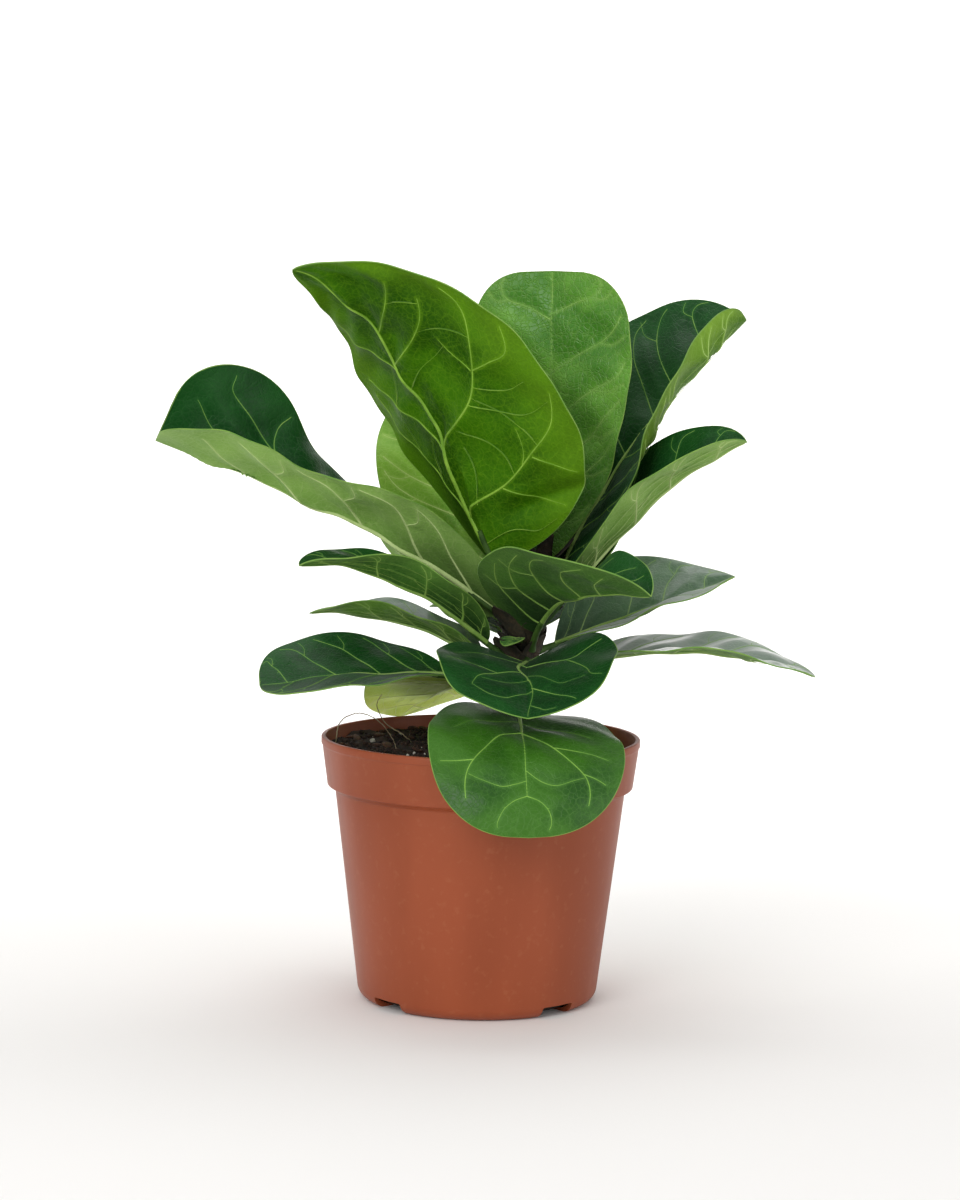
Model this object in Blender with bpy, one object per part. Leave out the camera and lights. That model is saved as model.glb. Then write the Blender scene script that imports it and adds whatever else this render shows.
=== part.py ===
"""Potted fiddle leaf fig: nursery pot, potting soil, stem and each leaf as separate closed solids.

Frame: +Z up, origin at the centre of the pot's underside, +X to the right seen from the plant's
front, +Y towards its back.
"""

import math
from typing import NamedTuple

import bmesh
import bpy
import numpy as np
from mathutils import Matrix, Vector
from mathutils.bvhtree import BVHTree

MM = 0.001

# ---- pot, mm ----
POT_HEIGHT = 116.0
POT_WALL = 1.4
RIM_RADIUS = 70.0
COLLAR_HEIGHT = 21.0
COLLAR_TAPER = 2.8
SHOULDER_HEIGHT = 3.0
SHOULDER_STEP = 3.6
BODY_TAPER = 10.6
FOOT_ROUND = 6.0
COLLAR_FOOT_RADIUS = RIM_RADIUS - COLLAR_TAPER
BODY_TOP_RADIUS = COLLAR_FOOT_RADIUS - SHOULDER_STEP
BODY_FOOT_RADIUS = BODY_TOP_RADIUS - BODY_TAPER
# ---- soil, mm ----
SOIL_DEPTH_BELOW_RIM = 7.0
FIT_GAP = 0.3
FOOT_GAP = 0.5
# ---- stem, mm ----
STEM_RADIUS = 5.5
STEM_TIP_RADIUS = 3.2
STEM_FOOT = (13.0, 2.0)
STEM_LEAN = (0.15, -0.02)
STEM_LENGTH = 98.0
STEM_ROOTED = 30.0
SOIL_TOP = POT_HEIGHT - SOIL_DEPTH_BELOW_RIM


# ---- leaf shapes, mm ----
PETIOLE_RADIUS = 1.7
BLADE_THICKNESS = 0.9
OVER_RIM_LENGTH = 1.46 * RIM_RADIUS  # the lowest front leaf passes the rim before it hangs down
WAIST_SPAN = 0.12  # share of a blade's length over which a waist draws it in


class Leaf(NamedTuple):
    """How one leaf grows. Lengths in mm, angles in degrees, left and right as seen from the stem."""

    name: str
    node: float  # height of its foot on the stem above the soil
    heading: float  # compass direction from the stem: 0 is +X, 90 is +Y
    slope: tuple  # midrib above level at its foot, middle and tip
    turn: float  # sideways turn of the midrib from foot to tip, to the left
    petiole: float
    length: float
    widths: tuple  # half widths, left and right
    outline: tuple  # how full the blade is towards its base and its tip: 0.5 round, 1 pointed
    fold: tuple  # left base, left tip, right base, right tip: rise of each half beside the midrib
    curl: tuple  # further rise out to each margin, in the same order
    roll: tuple  # blade turned about its midrib at base and tip
    wave: tuple = (1.5, 2.0, 0.0)  # margin ripple: height, count, phase
    waist: tuple = (0.5, 0.0)  # where the blade narrows, and by what share


LEAVES = [
    Leaf(
        "leaf_front_low", 18, 271, (4, -14, -84), 6, 12, OVER_RIM_LENGTH, (42, 40),
        outline=(0.5, 0.38), fold=(0, 0, 8, 0), curl=(6, -10, 6, -10), roll=(-4, 0),
    ),
    Leaf(
        "leaf_back_low", 26, 122, (6, -14, -30), 0, 14, 88, (36, 38),
        outline=(0.5, 0.55), fold=(10, 5, 10, 5), curl=(10, 0, 10, 0), roll=(0, 0),
    ),
    Leaf(
        "leaf_left_low", 29, 186, (16, -2, -8), 0, 26, 84, (33, 33),
        outline=(0.7, 0.4), fold=(6, 6, 12, 12), curl=(5, 5, 15, 10), roll=(-6, -12),
    ),
    Leaf(
        "leaf_front_mid", 41, 270, (2, -9, -24), 0, 10, 74, (40, 40),
        outline=(0.4, 0.5), fold=(25, 10, 15, 10), curl=(10, 0, 10, 0), roll=(0, 0),
    ),
    Leaf(
        "leaf_right_low", 36, 352, (16, 2, -20), 0, 22, 102, (30, 30),
        outline=(0.6, 0.7), fold=(8, 8, 8, 8), curl=(10, 0, 5, 0), roll=(0, 0),
    ),
    Leaf(
        "leaf_back_left_low", 45, 124, (26, 14, 4), 0, 12, 48, (20, 18),
        outline=(0.6, 0.5), fold=(10, 5, 10, 5), curl=(5, 0, 5, 0), roll=(0, 0),
    ),
    Leaf(
        "leaf_left_slim", 34, 168, (30, 16, -6), 4, 16, 80, (18, 20),
        outline=(0.6, 0.9), fold=(25, 25, 15, 15), curl=(10, 10, 10, 10), roll=(0, 0),
    ),
    Leaf(
        "leaf_left_mid", 39, 210, (36, 28, -4), -8, 18, 98, (17, 20),
        outline=(0.6, 0.6), fold=(40, 20, 30, 20), curl=(20, 10, 20, 10), roll=(0, 0),
    ),
    Leaf(
        "leaf_right_grey", 45, 12, (20, 20, 20), -4, 8, 86, (32, 26),
        outline=(0.9, 0.9), fold=(45, 30, 5, 5), curl=(10, 0, 5, 0), roll=(0, 0),
    ),
    Leaf(
        "leaf_sprig", 50, 240, (20, -5, -20), 0, 4, 13, (5, 5),
        outline=(0.6, 0.7), fold=(10, 5, 10, 5), curl=(5, 0, 5, 0), roll=(0, 0), wave=(0, 1, 0),
    ),
    Leaf(
        "leaf_front_small", 46, 289, (58, 14, 4), 40, 10, 88, (26, 42),
        outline=(0.5, 0.5), fold=(30, 42, 24, 25), curl=(10, 10, 12, 10), roll=(0, 0),
    ),
    Leaf(
        "leaf_back_mid", 48, 92, (30, 26, 8), 0, 8, 62, (30, 28),
        outline=(0.55, 0.5), fold=(10, 5, 10, 5), curl=(5, 0, 5, 0), roll=(0, 0),
    ),
    Leaf(
        "leaf_right_mid", 58, 350, (48, 46, 24), 0, 18, 102, (31, 26),
        outline=(0.6, 0.6), fold=(24, 45, 14, 20), curl=(10, 10, 10, 5), roll=(0, 0),
    ),
    Leaf(
        "leaf_back_right", 58, 58, (52, 60, 62), 0, 10, 88, (14, 31),
        outline=(0.5, 0.45), fold=(10, 5, 10, 5), curl=(5, 0, 5, 0), roll=(0, 0),
    ),
    Leaf(
        "leaf_back_left", 61, 126, (26, 62, 70), 0, 14, 112, (40, 18),
        outline=(0.6, 0.5), fold=(10, 5, 10, 5), curl=(5, 0, 5, 0), roll=(-10, -40),
    ),
    Leaf(
        "leaf_left_long", 53, 184, (42, 25, 22), 0, 12, 168, (38, 46),
        outline=(0.65, 0.22), fold=(62, 10, -55, 98), curl=(20, 10, 10, 10), roll=(0, 0),
        wave=(4, 1, 1.57), waist=(0.6, 0.28),
    ),
    Leaf(
        "leaf_right_top", 66, 27, (62, 53, 40), -12, 12, 146, (46, 33),
        outline=(0.7, 0.4), fold=(15, 15, 15, 20), curl=(10, 10, 0, 95), roll=(22, 20),
    ),
    Leaf(
        "leaf_top_front", 62, 204, (50, 66, 8), -8, 26, 164, (65, 56),
        outline=(0.45, 0.7), fold=(5, -8, 38, 0), curl=(10, 0, 10, 5), roll=(32, 28),
        wave=(2, 1.5, 0), waist=(0.9, 0.22),
    ),
    Leaf(
        "leaf_top_back", 74, 78, (72, 85, 88), 0, 10, 128, (38, 43),
        outline=(0.6, 0.28), fold=(10, 5, 10, 10), curl=(10, 5, 10, 5), roll=(-12, -12),
    ),
]


def stem_point(height):
    """Middle of the stem at a height above the soil."""
    x = STEM_FOOT[0] + STEM_LEAN[0] * height
    y = STEM_FOOT[1] + STEM_LEAN[1] * height
    return np.array([x, y, SOIL_TOP + height])


def stem_radius(height):
    return STEM_RADIUS + (STEM_TIP_RADIUS - STEM_RADIUS) * np.clip(height / STEM_LENGTH, 0, 1)


def through(values, t):
    """Smooth value at t from 0 to 1 through three values at 0, 0.5 and 1."""
    a, b, c = values
    return a + (4 * b - 3 * a - c) * t + (2 * a + 2 * c - 4 * b) * t * t


def level(heading):
    """Level direction at a heading in degrees."""
    return np.array([math.cos(math.radians(heading)), math.sin(math.radians(heading)), 0.0])


def midrib(leaf, count=96):
    """Points along petiole and midrib, and the along, left and up directions at each."""
    t = np.linspace(0, 1, count)
    slope = np.radians(through(leaf.slope, t))
    heading = np.radians(leaf.heading + leaf.turn * t * t)
    ahead = np.stack([np.cos(heading), np.sin(heading), np.zeros(count)], 1)
    left = np.stack([-np.sin(heading), np.cos(heading), np.zeros(count)], 1)
    along = ahead * np.cos(slope)[:, None] + np.array([0, 0, 1]) * np.sin(slope)[:, None]
    up = np.cross(along, left)
    step = (leaf.petiole + leaf.length) / (count - 1)
    foot = stem_point(leaf.node) + level(leaf.heading) * (stem_radius(leaf.node) + FOOT_GAP)
    travel = np.cumsum((along[1:] + along[:-1]) / 2, 0) * step
    return t, foot + np.concatenate([[np.zeros(3)], travel]), along, left, up


def outline(leaf, s):
    """Share of the full half width at s from the blade's base, 0, to its tip, 1."""
    p, q = leaf.outline
    peak = p / (p + q)
    s = np.clip(s, 0, 1)
    place, share = leaf.waist
    full = s**p * (1 - s) ** q / (peak**p * (1 - peak) ** q)
    return full * (1 - share * np.exp(-(((s - place) / WAIST_SPAN) ** 2)))


def read_along(values, t, at):
    """Each column of values, known at t, read at other places."""
    return np.stack([np.interp(at, t, values[:, column]) for column in range(3)], -1)


def margin_angle(four, s, is_left):
    """Angle in radians at s from a leaf's left base, left tip, right base, right tip values."""
    left = four[0] + (four[1] - four[0]) * s
    right = four[2] + (four[3] - four[2]) * s
    return np.radians(np.where(is_left, left, right))


def blade_point(leaf, ribs, s, v):
    """Point and normal of the blade's middle surface.

    s runs from the blade's base, 0, to its tip, 1, and below 0 down the petiole. v runs from the
    right margin, -1, to the left one, 1. Both are arrays of one shape.
    """
    t, points, _, left, up = ribs
    at = (leaf.petiole + s * leaf.length) / (leaf.petiole + leaf.length)
    mid = read_along(points, t, at)
    side = read_along(left, t, at)
    rise = read_along(up, t, at)
    on_blade = np.clip(s, 0, 1)
    roll = np.radians(leaf.roll[0] + (leaf.roll[1] - leaf.roll[0]) * on_blade)[..., None]
    side, rise = side * np.cos(roll) + rise * np.sin(roll), rise * np.cos(roll) - side * np.sin(roll)
    is_left = v > 0
    fold = margin_angle(leaf.fold, on_blade, is_left)
    curl = margin_angle(leaf.curl, on_blade, is_left)
    curl = np.where(np.abs(curl) < 1e-4, 1e-4, curl)
    half = np.where(is_left, leaf.widths[0], leaf.widths[1]) * outline(leaf, s)
    half = np.maximum(half, PETIOLE_RADIUS * np.clip(1.15 - s, 0, 1))
    angle = fold + curl * np.abs(v)
    out = half * (np.sin(angle) - np.sin(fold)) / curl
    lift = half * (np.cos(fold) - np.cos(angle)) / curl
    height, count, phase = leaf.wave
    ripple = np.sin(math.tau * count * s + np.where(is_left, phase, phase + 0.9))
    swing = height * v**2 * ripple * np.sin(math.pi * on_blade) ** 0.7
    sign = np.where(is_left, 1.0, -1.0)
    normal = rise * np.cos(angle)[..., None] - side * (sign * np.sin(angle))[..., None]
    point = mid + side * (sign * out)[..., None] + rise * lift[..., None] + normal * swing[..., None]
    return point, normal


# ---- pot, soil and stem in finer detail, mm ----
RIM_ROUND = 0.6
POCKET_HEADINGS = (42.0, 132.0, 222.0, 312.0)
POCKET_HEIGHT = 5.0
POCKET_WIDTH = 17.0
POCKET_INNER_END = 28.0
DRAIN_HOLE_RADIUS = 3.5
SOIL_TILT = (-0.028, 0.014)
SOIL_LUMPS = 0.9
TURN_STEPS = 64
STEM_STATIONS = 14
SOCKET_TOP = 14.0
SOCKET_STATIONS = 8
STEM_SIDES = 16
STEM_TIP_DOME = ((0.3, 0.85), (0.8, 0.5), (1.2, 0.15))  # rise and width, as shares of the tip's radius
# ---- leaf mesh ----
PETIOLE_STATIONS = (0.0, 0.62)
BLADE_STATIONS = (0.0, 0.03, 0.08, 0.16, 0.26, 0.37, 0.49, 0.61, 0.73, 0.84, 0.93, 0.98, 1.0)
LEAF_SIDES = 16
RIB_DEPTH = 1.3
# ---- root fibres, mm: waypoints as (distance in from the rim at -X, y, height above the soil) ----
FIBRE_RADIUS = 0.35
FIBRE_SIDES = 6
FIBRE_STEPS = (0.0, 0.25, 0.5, 0.75)
FIBRES = {
    "root_fibre_long": (
        (6, 4, 0), (8, 2, 9), (16, -4, 15), (25, -5, 13), (31, -2, 6), (33, 0, 0),
    ),
    "root_fibre_short": ((40, 12, 0), (35, 10, 5), (28, 8, 10), (24, 7, 18), (26, 6, 23)),
}


def clear_scene():
    for thing in list(bpy.data.objects):
        bpy.data.objects.remove(thing, do_unlink=True)


def material(name, colour, roughness):
    made = bpy.data.materials.new(name)
    made.use_nodes = True
    shader = made.node_tree.nodes["Principled BSDF"]
    shader.inputs["Base Color"].default_value = (*colour, 1.0)
    shader.inputs["Roughness"].default_value = roughness
    shader.inputs["Metallic"].default_value = 0.0
    return made


def as_object(work, name, surface=None):
    """A bmesh in mm as a named object in metres. Without a surface it is a cutter."""
    bmesh.ops.recalc_face_normals(work, faces=work.faces)
    bmesh.ops.scale(work, vec=Vector((MM, MM, MM)), verts=work.verts)
    mesh = bpy.data.meshes.new(name)
    work.to_mesh(mesh)
    work.free()
    made = bpy.data.objects.new(name, mesh)
    bpy.context.collection.objects.link(made)
    if surface:
        made.data.materials.append(surface)
    else:
        made.hide_render = True
        made.display_type = "WIRE"
    return made


def cut(target, cutter):
    modifier = target.modifiers.new("less " + cutter.name, "BOOLEAN")
    modifier.operation = "DIFFERENCE"
    modifier.solver = "EXACT"
    modifier.object = cutter


def turned(profile, steps=TURN_STEPS):
    """Solid turned about the Z axis from (radius, height) points that start and end on the axis."""
    work = bmesh.new()
    points = [work.verts.new((radius, 0.0, height)) for radius, height in profile]
    edges = [work.edges.new(pair) for pair in zip(points, points[1:])]
    bmesh.ops.spin(
        work,
        geom=points + edges,
        cent=(0, 0, 0),
        axis=(0, 0, 1),
        angle=math.tau,
        steps=steps,
        use_merge=True,
    )
    bmesh.ops.remove_doubles(work, verts=work.verts, dist=0.0001)
    return work


def channel(heading, inner_end, width, low, high):
    """Straight-sided block from inner_end out past the wall, along a heading from the pot's axis."""
    work = bmesh.new()
    made = bmesh.ops.create_cube(work, size=1.0)
    long = RIM_RADIUS - inner_end
    bmesh.ops.scale(work, vec=Vector((long, width, high - low)), verts=made["verts"])
    middle = Vector((inner_end + long / 2, 0, (low + high) / 2))
    bmesh.ops.translate(work, vec=middle, verts=made["verts"])
    turn = Matrix.Rotation(math.radians(heading), 3, "Z")
    bmesh.ops.rotate(work, cent=(0, 0, 0), matrix=turn, verts=made["verts"])
    return work


def rod(radius, low, high, x, y, sides=24):
    work = bmesh.new()
    bmesh.ops.create_cone(
        work, cap_ends=True, segments=sides, radius1=radius, radius2=radius, depth=high - low
    )
    bmesh.ops.translate(work, vec=Vector((x, y, (low + high) / 2)), verts=work.verts)
    return work


def loft(rings):
    """Closed body through equal rings of points: a capped circle carried from ring to ring."""
    work = bmesh.new()
    circle = bmesh.ops.create_circle(work, cap_ends=True, segments=len(rings[0]), radius=1.0)["verts"]
    loop = list(work.edges)
    for vertex, point in zip(circle, rings[0]):
        vertex.co = point
    for ring in rings[1:]:
        grown = bmesh.ops.extrude_edge_only(work, edges=loop)["geom"]
        fresh = {item for item in grown if isinstance(item, bmesh.types.BMVert)}
        carried = []
        for vertex, point in zip(circle, ring):
            new = next(e.other_vert(vertex) for e in vertex.link_edges if e.other_vert(vertex) in fresh)
            new.co = point
            carried.append(new)
        circle = carried
        edges = [item for item in grown if isinstance(item, bmesh.types.BMEdge)]
        loop = [edge for edge in edges if fresh.issuperset(edge.verts)]
    work.faces.new(circle)
    bmesh.ops.triangulate(work, faces=work.faces)
    return work


# ---- pot ----
def outer_wall():
    """Outer (radius, height) points of the pot from its foot up to the rim."""
    turns = np.radians(np.linspace(-90, -4, 6))
    centre = BODY_FOOT_RADIUS - FOOT_ROUND
    foot = [(centre + FOOT_ROUND * math.cos(a), FOOT_ROUND + FOOT_ROUND * math.sin(a)) for a in turns]
    collar = POT_HEIGHT - COLLAR_HEIGHT
    return foot + [
        (BODY_TOP_RADIUS - 0.12, collar - SHOULDER_HEIGHT - 1.2),
        (BODY_TOP_RADIUS, collar - SHOULDER_HEIGHT),
        (BODY_TOP_RADIUS + 0.8, collar - SHOULDER_HEIGHT + 0.8),
        (COLLAR_FOOT_RADIUS - 0.7, collar - 0.6),
        (COLLAR_FOOT_RADIUS, collar + 0.3),
        (RIM_RADIUS, POT_HEIGHT - RIM_ROUND),
    ]


def inner_wall(offset):
    """Inner (radius, height) points, set in from the outer wall by offset."""
    collar = POT_HEIGHT - COLLAR_HEIGHT
    return [
        (BODY_FOOT_RADIUS - FOOT_ROUND - 1.0, offset),
        (BODY_FOOT_RADIUS - offset - 1.4, offset + 2.0),
        (BODY_FOOT_RADIUS - offset + 0.3, offset + 7.0),
        (BODY_TOP_RADIUS - offset, collar - SHOULDER_HEIGHT + 0.8),
        (COLLAR_FOOT_RADIUS - offset, collar + 1.2),
        (RIM_RADIUS - offset, POT_HEIGHT - RIM_ROUND),
    ]


def build_pot(surface):
    rim = [(RIM_RADIUS - RIM_ROUND * 0.5, POT_HEIGHT - 0.1), (RIM_RADIUS - RIM_ROUND, POT_HEIGHT)]
    pot = as_object(turned([(0, 0), *outer_wall(), *rim, (0, POT_HEIGHT)]), "pot", surface)
    mouth = (RIM_RADIUS - POT_WALL + 0.1, POT_HEIGHT + 2)
    inside = turned([(0, POT_WALL), *inner_wall(POT_WALL), mouth, (0, POT_HEIGHT + 2)])
    hollow = as_object(inside, "pot_hollow")
    for index, heading in enumerate(POCKET_HEADINGS):
        roof = POCKET_HEIGHT + POT_WALL
        cover = channel(heading, POCKET_INNER_END - POT_WALL, POCKET_WIDTH + 2 * POT_WALL, -5, roof)
        cut(hollow, as_object(cover, f"pocket_cover_{index}"))
    cut(pot, hollow)
    for index, heading in enumerate(POCKET_HEADINGS):
        pocket = channel(heading, POCKET_INNER_END, POCKET_WIDTH, -5, POCKET_HEIGHT)
        cut(pot, as_object(pocket, f"pocket_{index}"))
        x, y, _ = level(heading) * (POCKET_INNER_END + BODY_FOOT_RADIUS - FOOT_ROUND) / 2
        drain = rod(DRAIN_HOLE_RADIUS, POCKET_HEIGHT - 3, POCKET_HEIGHT + POT_WALL + 3, x, y)
        cut(pot, as_object(drain, f"drain_hole_{index}"))


# ---- soil ----
def soil_height(x, y):
    """Height of the soil's surface: banked towards one side, with low lumps."""
    lumps = math.sin(x * 0.21 + 1.3) * math.cos(y * 0.17 - 0.4) + 0.6 * math.sin(x * 0.09 - y * 0.31)
    edge = min(1.0, math.hypot(x, y) / (0.55 * RIM_RADIUS))
    return SOIL_TOP + SOIL_TILT[0] * x + SOIL_TILT[1] * y + SOIL_LUMPS * lumps * edge


def build_soil(surface):
    """Makes the soil and returns its surface, for what stands on it."""
    wall = inner_wall(POT_WALL + FIT_GAP)
    wall_radii, wall_heights = zip(*wall)
    radius = np.interp(SOIL_TOP, wall_heights, wall_radii)
    tops = [(radius * share, SOIL_TOP) for share in (1.0, 0.88, 0.74, 0.6, 0.46, 0.32, 0.18)]
    work = turned([(0, POT_WALL + FIT_GAP), *wall[:-1], *tops, (0, SOIL_TOP)], TURN_STEPS)
    for vertex in work.verts:
        if vertex.co.z > SOIL_TOP - 0.1:
            x, y = vertex.co.x, vertex.co.y
            vertex.co.z = soil_height(x, y)
            if math.hypot(x, y) > 0.95 * radius:
                vertex.co.xy *= np.interp(vertex.co.z, wall_heights, wall_radii) / math.hypot(x, y)
    ground = BVHTree.FromBMesh(work)
    soil = as_object(work, "soil", surface)
    for index, heading in enumerate(POCKET_HEADINGS):
        inner_end = POCKET_INNER_END - POT_WALL - FIT_GAP
        width = POCKET_WIDTH + 2 * (POT_WALL + FIT_GAP)
        cover = channel(heading, inner_end, width, -5, POCKET_HEIGHT + POT_WALL + FIT_GAP)
        cut(soil, as_object(cover, f"soil_over_pocket_{index}"))
    socket = loft(stem_rings(FIT_GAP, -STEM_ROOTED - FIT_GAP, SOCKET_TOP, SOCKET_STATIONS))
    cut(soil, as_object(socket, "stem_socket"))
    return ground


# ---- stem ----
def stem_rings(offset, low, high, count):
    turns = np.arange(STEM_SIDES) * math.tau / STEM_SIDES
    rings = []
    for height in np.linspace(low, high, count):
        radius = stem_radius(height) + offset
        x, y, z = stem_point(height)
        rings.append([(x + radius * math.cos(a), y + radius * math.sin(a), z) for a in turns])
    return rings


def build_stem(surface):
    rings = stem_rings(0, -STEM_ROOTED, STEM_LENGTH - STEM_TIP_RADIUS, STEM_STATIONS)
    top = np.array(rings[-1])
    middle = top.mean(axis=0)
    for rise, share in STEM_TIP_DOME:
        dome = middle + (top - middle) * share + np.array([0, 0, rise * STEM_TIP_RADIUS])
        rings.append([tuple(point) for point in dome])
    as_object(loft(rings), "stem", surface)


# ---- leaves ----
def leaf_rings(leaf):
    """Rings of a leaf from its foot on the stem to its tip: a round petiole opens into a thin blade."""
    ribs = midrib(leaf)
    turns = np.arange(LEAF_SIDES) * math.tau / LEAF_SIDES
    across = np.cos(turns)
    petiole_share = leaf.petiole / leaf.length
    rings = []
    for s in [-petiole_share * (1 - share) for share in PETIOLE_STATIONS] + list(BLADE_STATIONS):
        flat = np.clip(s / 0.1, 0, 1)
        middle, normal = blade_point(leaf, ribs, np.full(LEAF_SIDES, s), across)
        blade = BLADE_THICKNESS / 2 * np.clip(2.2 * np.sin(turns), -1, 1)
        rib = RIB_DEPTH * (1 - np.clip(s, 0, 1)) * np.where(turns == math.tau * 0.75, 1.0, 0.0)
        lift = PETIOLE_RADIUS * np.sin(turns) * (1 - flat) + (blade - rib) * flat
        rings.append(middle + normal * lift[:, None])
    axis = np.array([*STEM_LEAN, 1.0])
    axis /= np.linalg.norm(axis)
    away = level(leaf.heading)
    away -= axis * (away @ axis)
    away /= np.linalg.norm(away)
    points, along = ribs[1], ribs[2]
    back = ((rings[0] - points[0]) @ away) / (along[0] @ away)
    rings[0] = rings[0] - back[:, None] * along[0]
    return rings


def build_leaf(leaf, surface):
    as_object(loft([[tuple(point) for point in ring] for ring in leaf_rings(leaf)]), leaf.name, surface)


# ---- root fibres ----
def smooth_between(a, b, c, d, t):
    """Point at t from 0 to 1 on the smooth curve from b to c, with a before them and d after."""
    bend = (2 * a - 5 * b + 4 * c - d) * t**2
    twist = (3 * b - a - 3 * c + d) * t**3
    return (2 * b + (c - a) * t + bend + twist) / 2


def build_fibre(name, waypoints, ground, surface):
    """Thin dry strand standing on the soil and arching through its waypoints."""
    knots = []
    for inset, y, height in waypoints:
        below = ground.ray_cast(Vector((inset - RIM_RADIUS, y, POT_HEIGHT)), Vector((0, 0, -1)))[0]
        knots.append(below + Vector((0, 0, FOOT_GAP + height)))
    knots = [knots[0] * 2 - knots[1]] + knots + [knots[-1] * 2 - knots[-2]]
    path = []
    for four in zip(knots, knots[1:], knots[2:], knots[3:]):
        path += [smooth_between(*four, t) for t in FIBRE_STEPS]
    path.append(knots[-2])
    rings = []
    for index, point in enumerate(path):
        ahead = path[min(index + 1, len(path) - 1)] - path[max(index - 1, 0)]
        if index == 0:
            ahead = Vector((0, 0, 1))
        elif index == len(path) - 1 and waypoints[-1][2] == 0:
            ahead = Vector((0, 0, -1))
        side = ahead.cross(Vector((0.2, 1, 0.1))).normalized()
        other = ahead.cross(side).normalized()
        turns = [k * math.tau / FIBRE_SIDES for k in range(FIBRE_SIDES)]
        rings.append([point + (side * math.cos(a) + other * math.sin(a)) * FIBRE_RADIUS for a in turns])
    as_object(loft(rings), name, surface)


def main():
    clear_scene()
    build_pot(material("pot_plastic", (0.34, 0.085, 0.045), 0.5))
    ground = build_soil(material("potting_soil", (0.018, 0.011, 0.008), 0.95))
    build_stem(material("stem_bark", (0.05, 0.03, 0.015), 0.8))
    for leaf in LEAVES:
        build_leaf(leaf, material(leaf.name + "_green", (0.03, 0.13, 0.03), 0.4))
    for name, waypoints in FIBRES.items():
        build_fibre(name, waypoints, ground, material(name + "_dry", (0.3, 0.24, 0.16), 0.9))


main()
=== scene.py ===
"""Looks of the potted fiddle leaf fig: leaves with their veins, stem, soil and moulded pot.

Shapes are worked out in millimetres, with +Z up and the pot's underside at the origin, and each
finished piece is brought to metres once.
"""

import math
import random
from typing import NamedTuple

import bmesh
import bpy
import numpy as np
from mathutils import Matrix, Vector, noise


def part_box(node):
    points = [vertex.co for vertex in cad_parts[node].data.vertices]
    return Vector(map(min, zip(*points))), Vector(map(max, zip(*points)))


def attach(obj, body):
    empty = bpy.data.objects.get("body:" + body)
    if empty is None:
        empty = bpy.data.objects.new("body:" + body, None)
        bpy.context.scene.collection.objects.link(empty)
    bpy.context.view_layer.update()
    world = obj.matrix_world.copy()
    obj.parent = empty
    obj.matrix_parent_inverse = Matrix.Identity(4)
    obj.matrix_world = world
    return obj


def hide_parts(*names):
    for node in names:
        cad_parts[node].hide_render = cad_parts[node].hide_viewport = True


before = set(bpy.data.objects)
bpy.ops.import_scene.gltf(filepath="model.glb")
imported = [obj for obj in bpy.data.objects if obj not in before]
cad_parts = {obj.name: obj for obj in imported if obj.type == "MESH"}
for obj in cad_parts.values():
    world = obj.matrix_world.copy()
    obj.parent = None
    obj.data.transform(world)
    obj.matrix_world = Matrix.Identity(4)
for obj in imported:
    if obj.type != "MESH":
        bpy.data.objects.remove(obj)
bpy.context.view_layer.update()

MM = 0.001
COLLECTION = bpy.context.scene.collection


def node_box(node):
    """Lowest and highest corner of a CAD node, in mm."""
    low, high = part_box(node)
    return low / MM, high / MM


# ---- sizes taken from the frame, mm ----
POT_LOW, POT_HIGH = node_box("pot")
POT_HEIGHT = POT_HIGH.z
RIM_RADIUS = (POT_HIGH.x - POT_LOW.x) / 2
STEM_TOP = node_box("stem")[1].z
# ---- pot, mm ----
POT_WALL = 1.4
COLLAR_HEIGHT = 21.0
COLLAR_FOOT_RADIUS = RIM_RADIUS - 2.8
SHOULDER_HEIGHT = 3.0
BODY_TOP_RADIUS = COLLAR_FOOT_RADIUS - 3.6
BODY_FOOT_RADIUS = BODY_TOP_RADIUS - 10.6
FOOT_ROUND = 6.0
POCKET_HEADINGS = (42.0, 132.0, 222.0, 312.0)  # degrees; the notches in the pot's foot
POCKET_HEIGHT = 5.0
POCKET_WIDTH = 17.0
POCKET_INNER_END = 28.0
POCKET_ROUND = 0.8
POT_STEPS = 192  # facets round the pot
WALL_ROWS = 8
# ---- soil and stem, mm ----
SOIL_TOP = POT_HEIGHT - 7.0
SOIL_TILT = (-0.028, 0.014)  # rise along +X and +Y
SOIL_LUMPS = 0.9  # height of the slow lumps
SOIL_CLODS = 1.1  # height of the clods on them
SOIL_GRID = 0.9  # between the rings of points in its surface
SOIL_STEPS = 220  # facets round it
FIT_GAP = 0.3
STEM_RADIUS = 5.5
STEM_TIP_RADIUS = 3.2
STEM_FOOT = (13.0, 2.0)
STEM_LEAN = (0.15, -0.02)  # along +X and +Y for each mm of height
STEM_LENGTH = STEM_TOP - SOIL_TOP
FOOT_GAP = 0.5
STEM_BURIED = 6.0
NODE_SWELLING = 0.45
BARK_ROUGHNESS = 0.35
SHEATH_THICKNESS = 0.25
SHEATH_LENGTHS = (15, 25)
SHEATH_HALF_WIDTHS = (4.5, 6.5)
SHEATH_SPREADS = (6, 16)  # how far a sheath's tip stands off the stem
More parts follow.
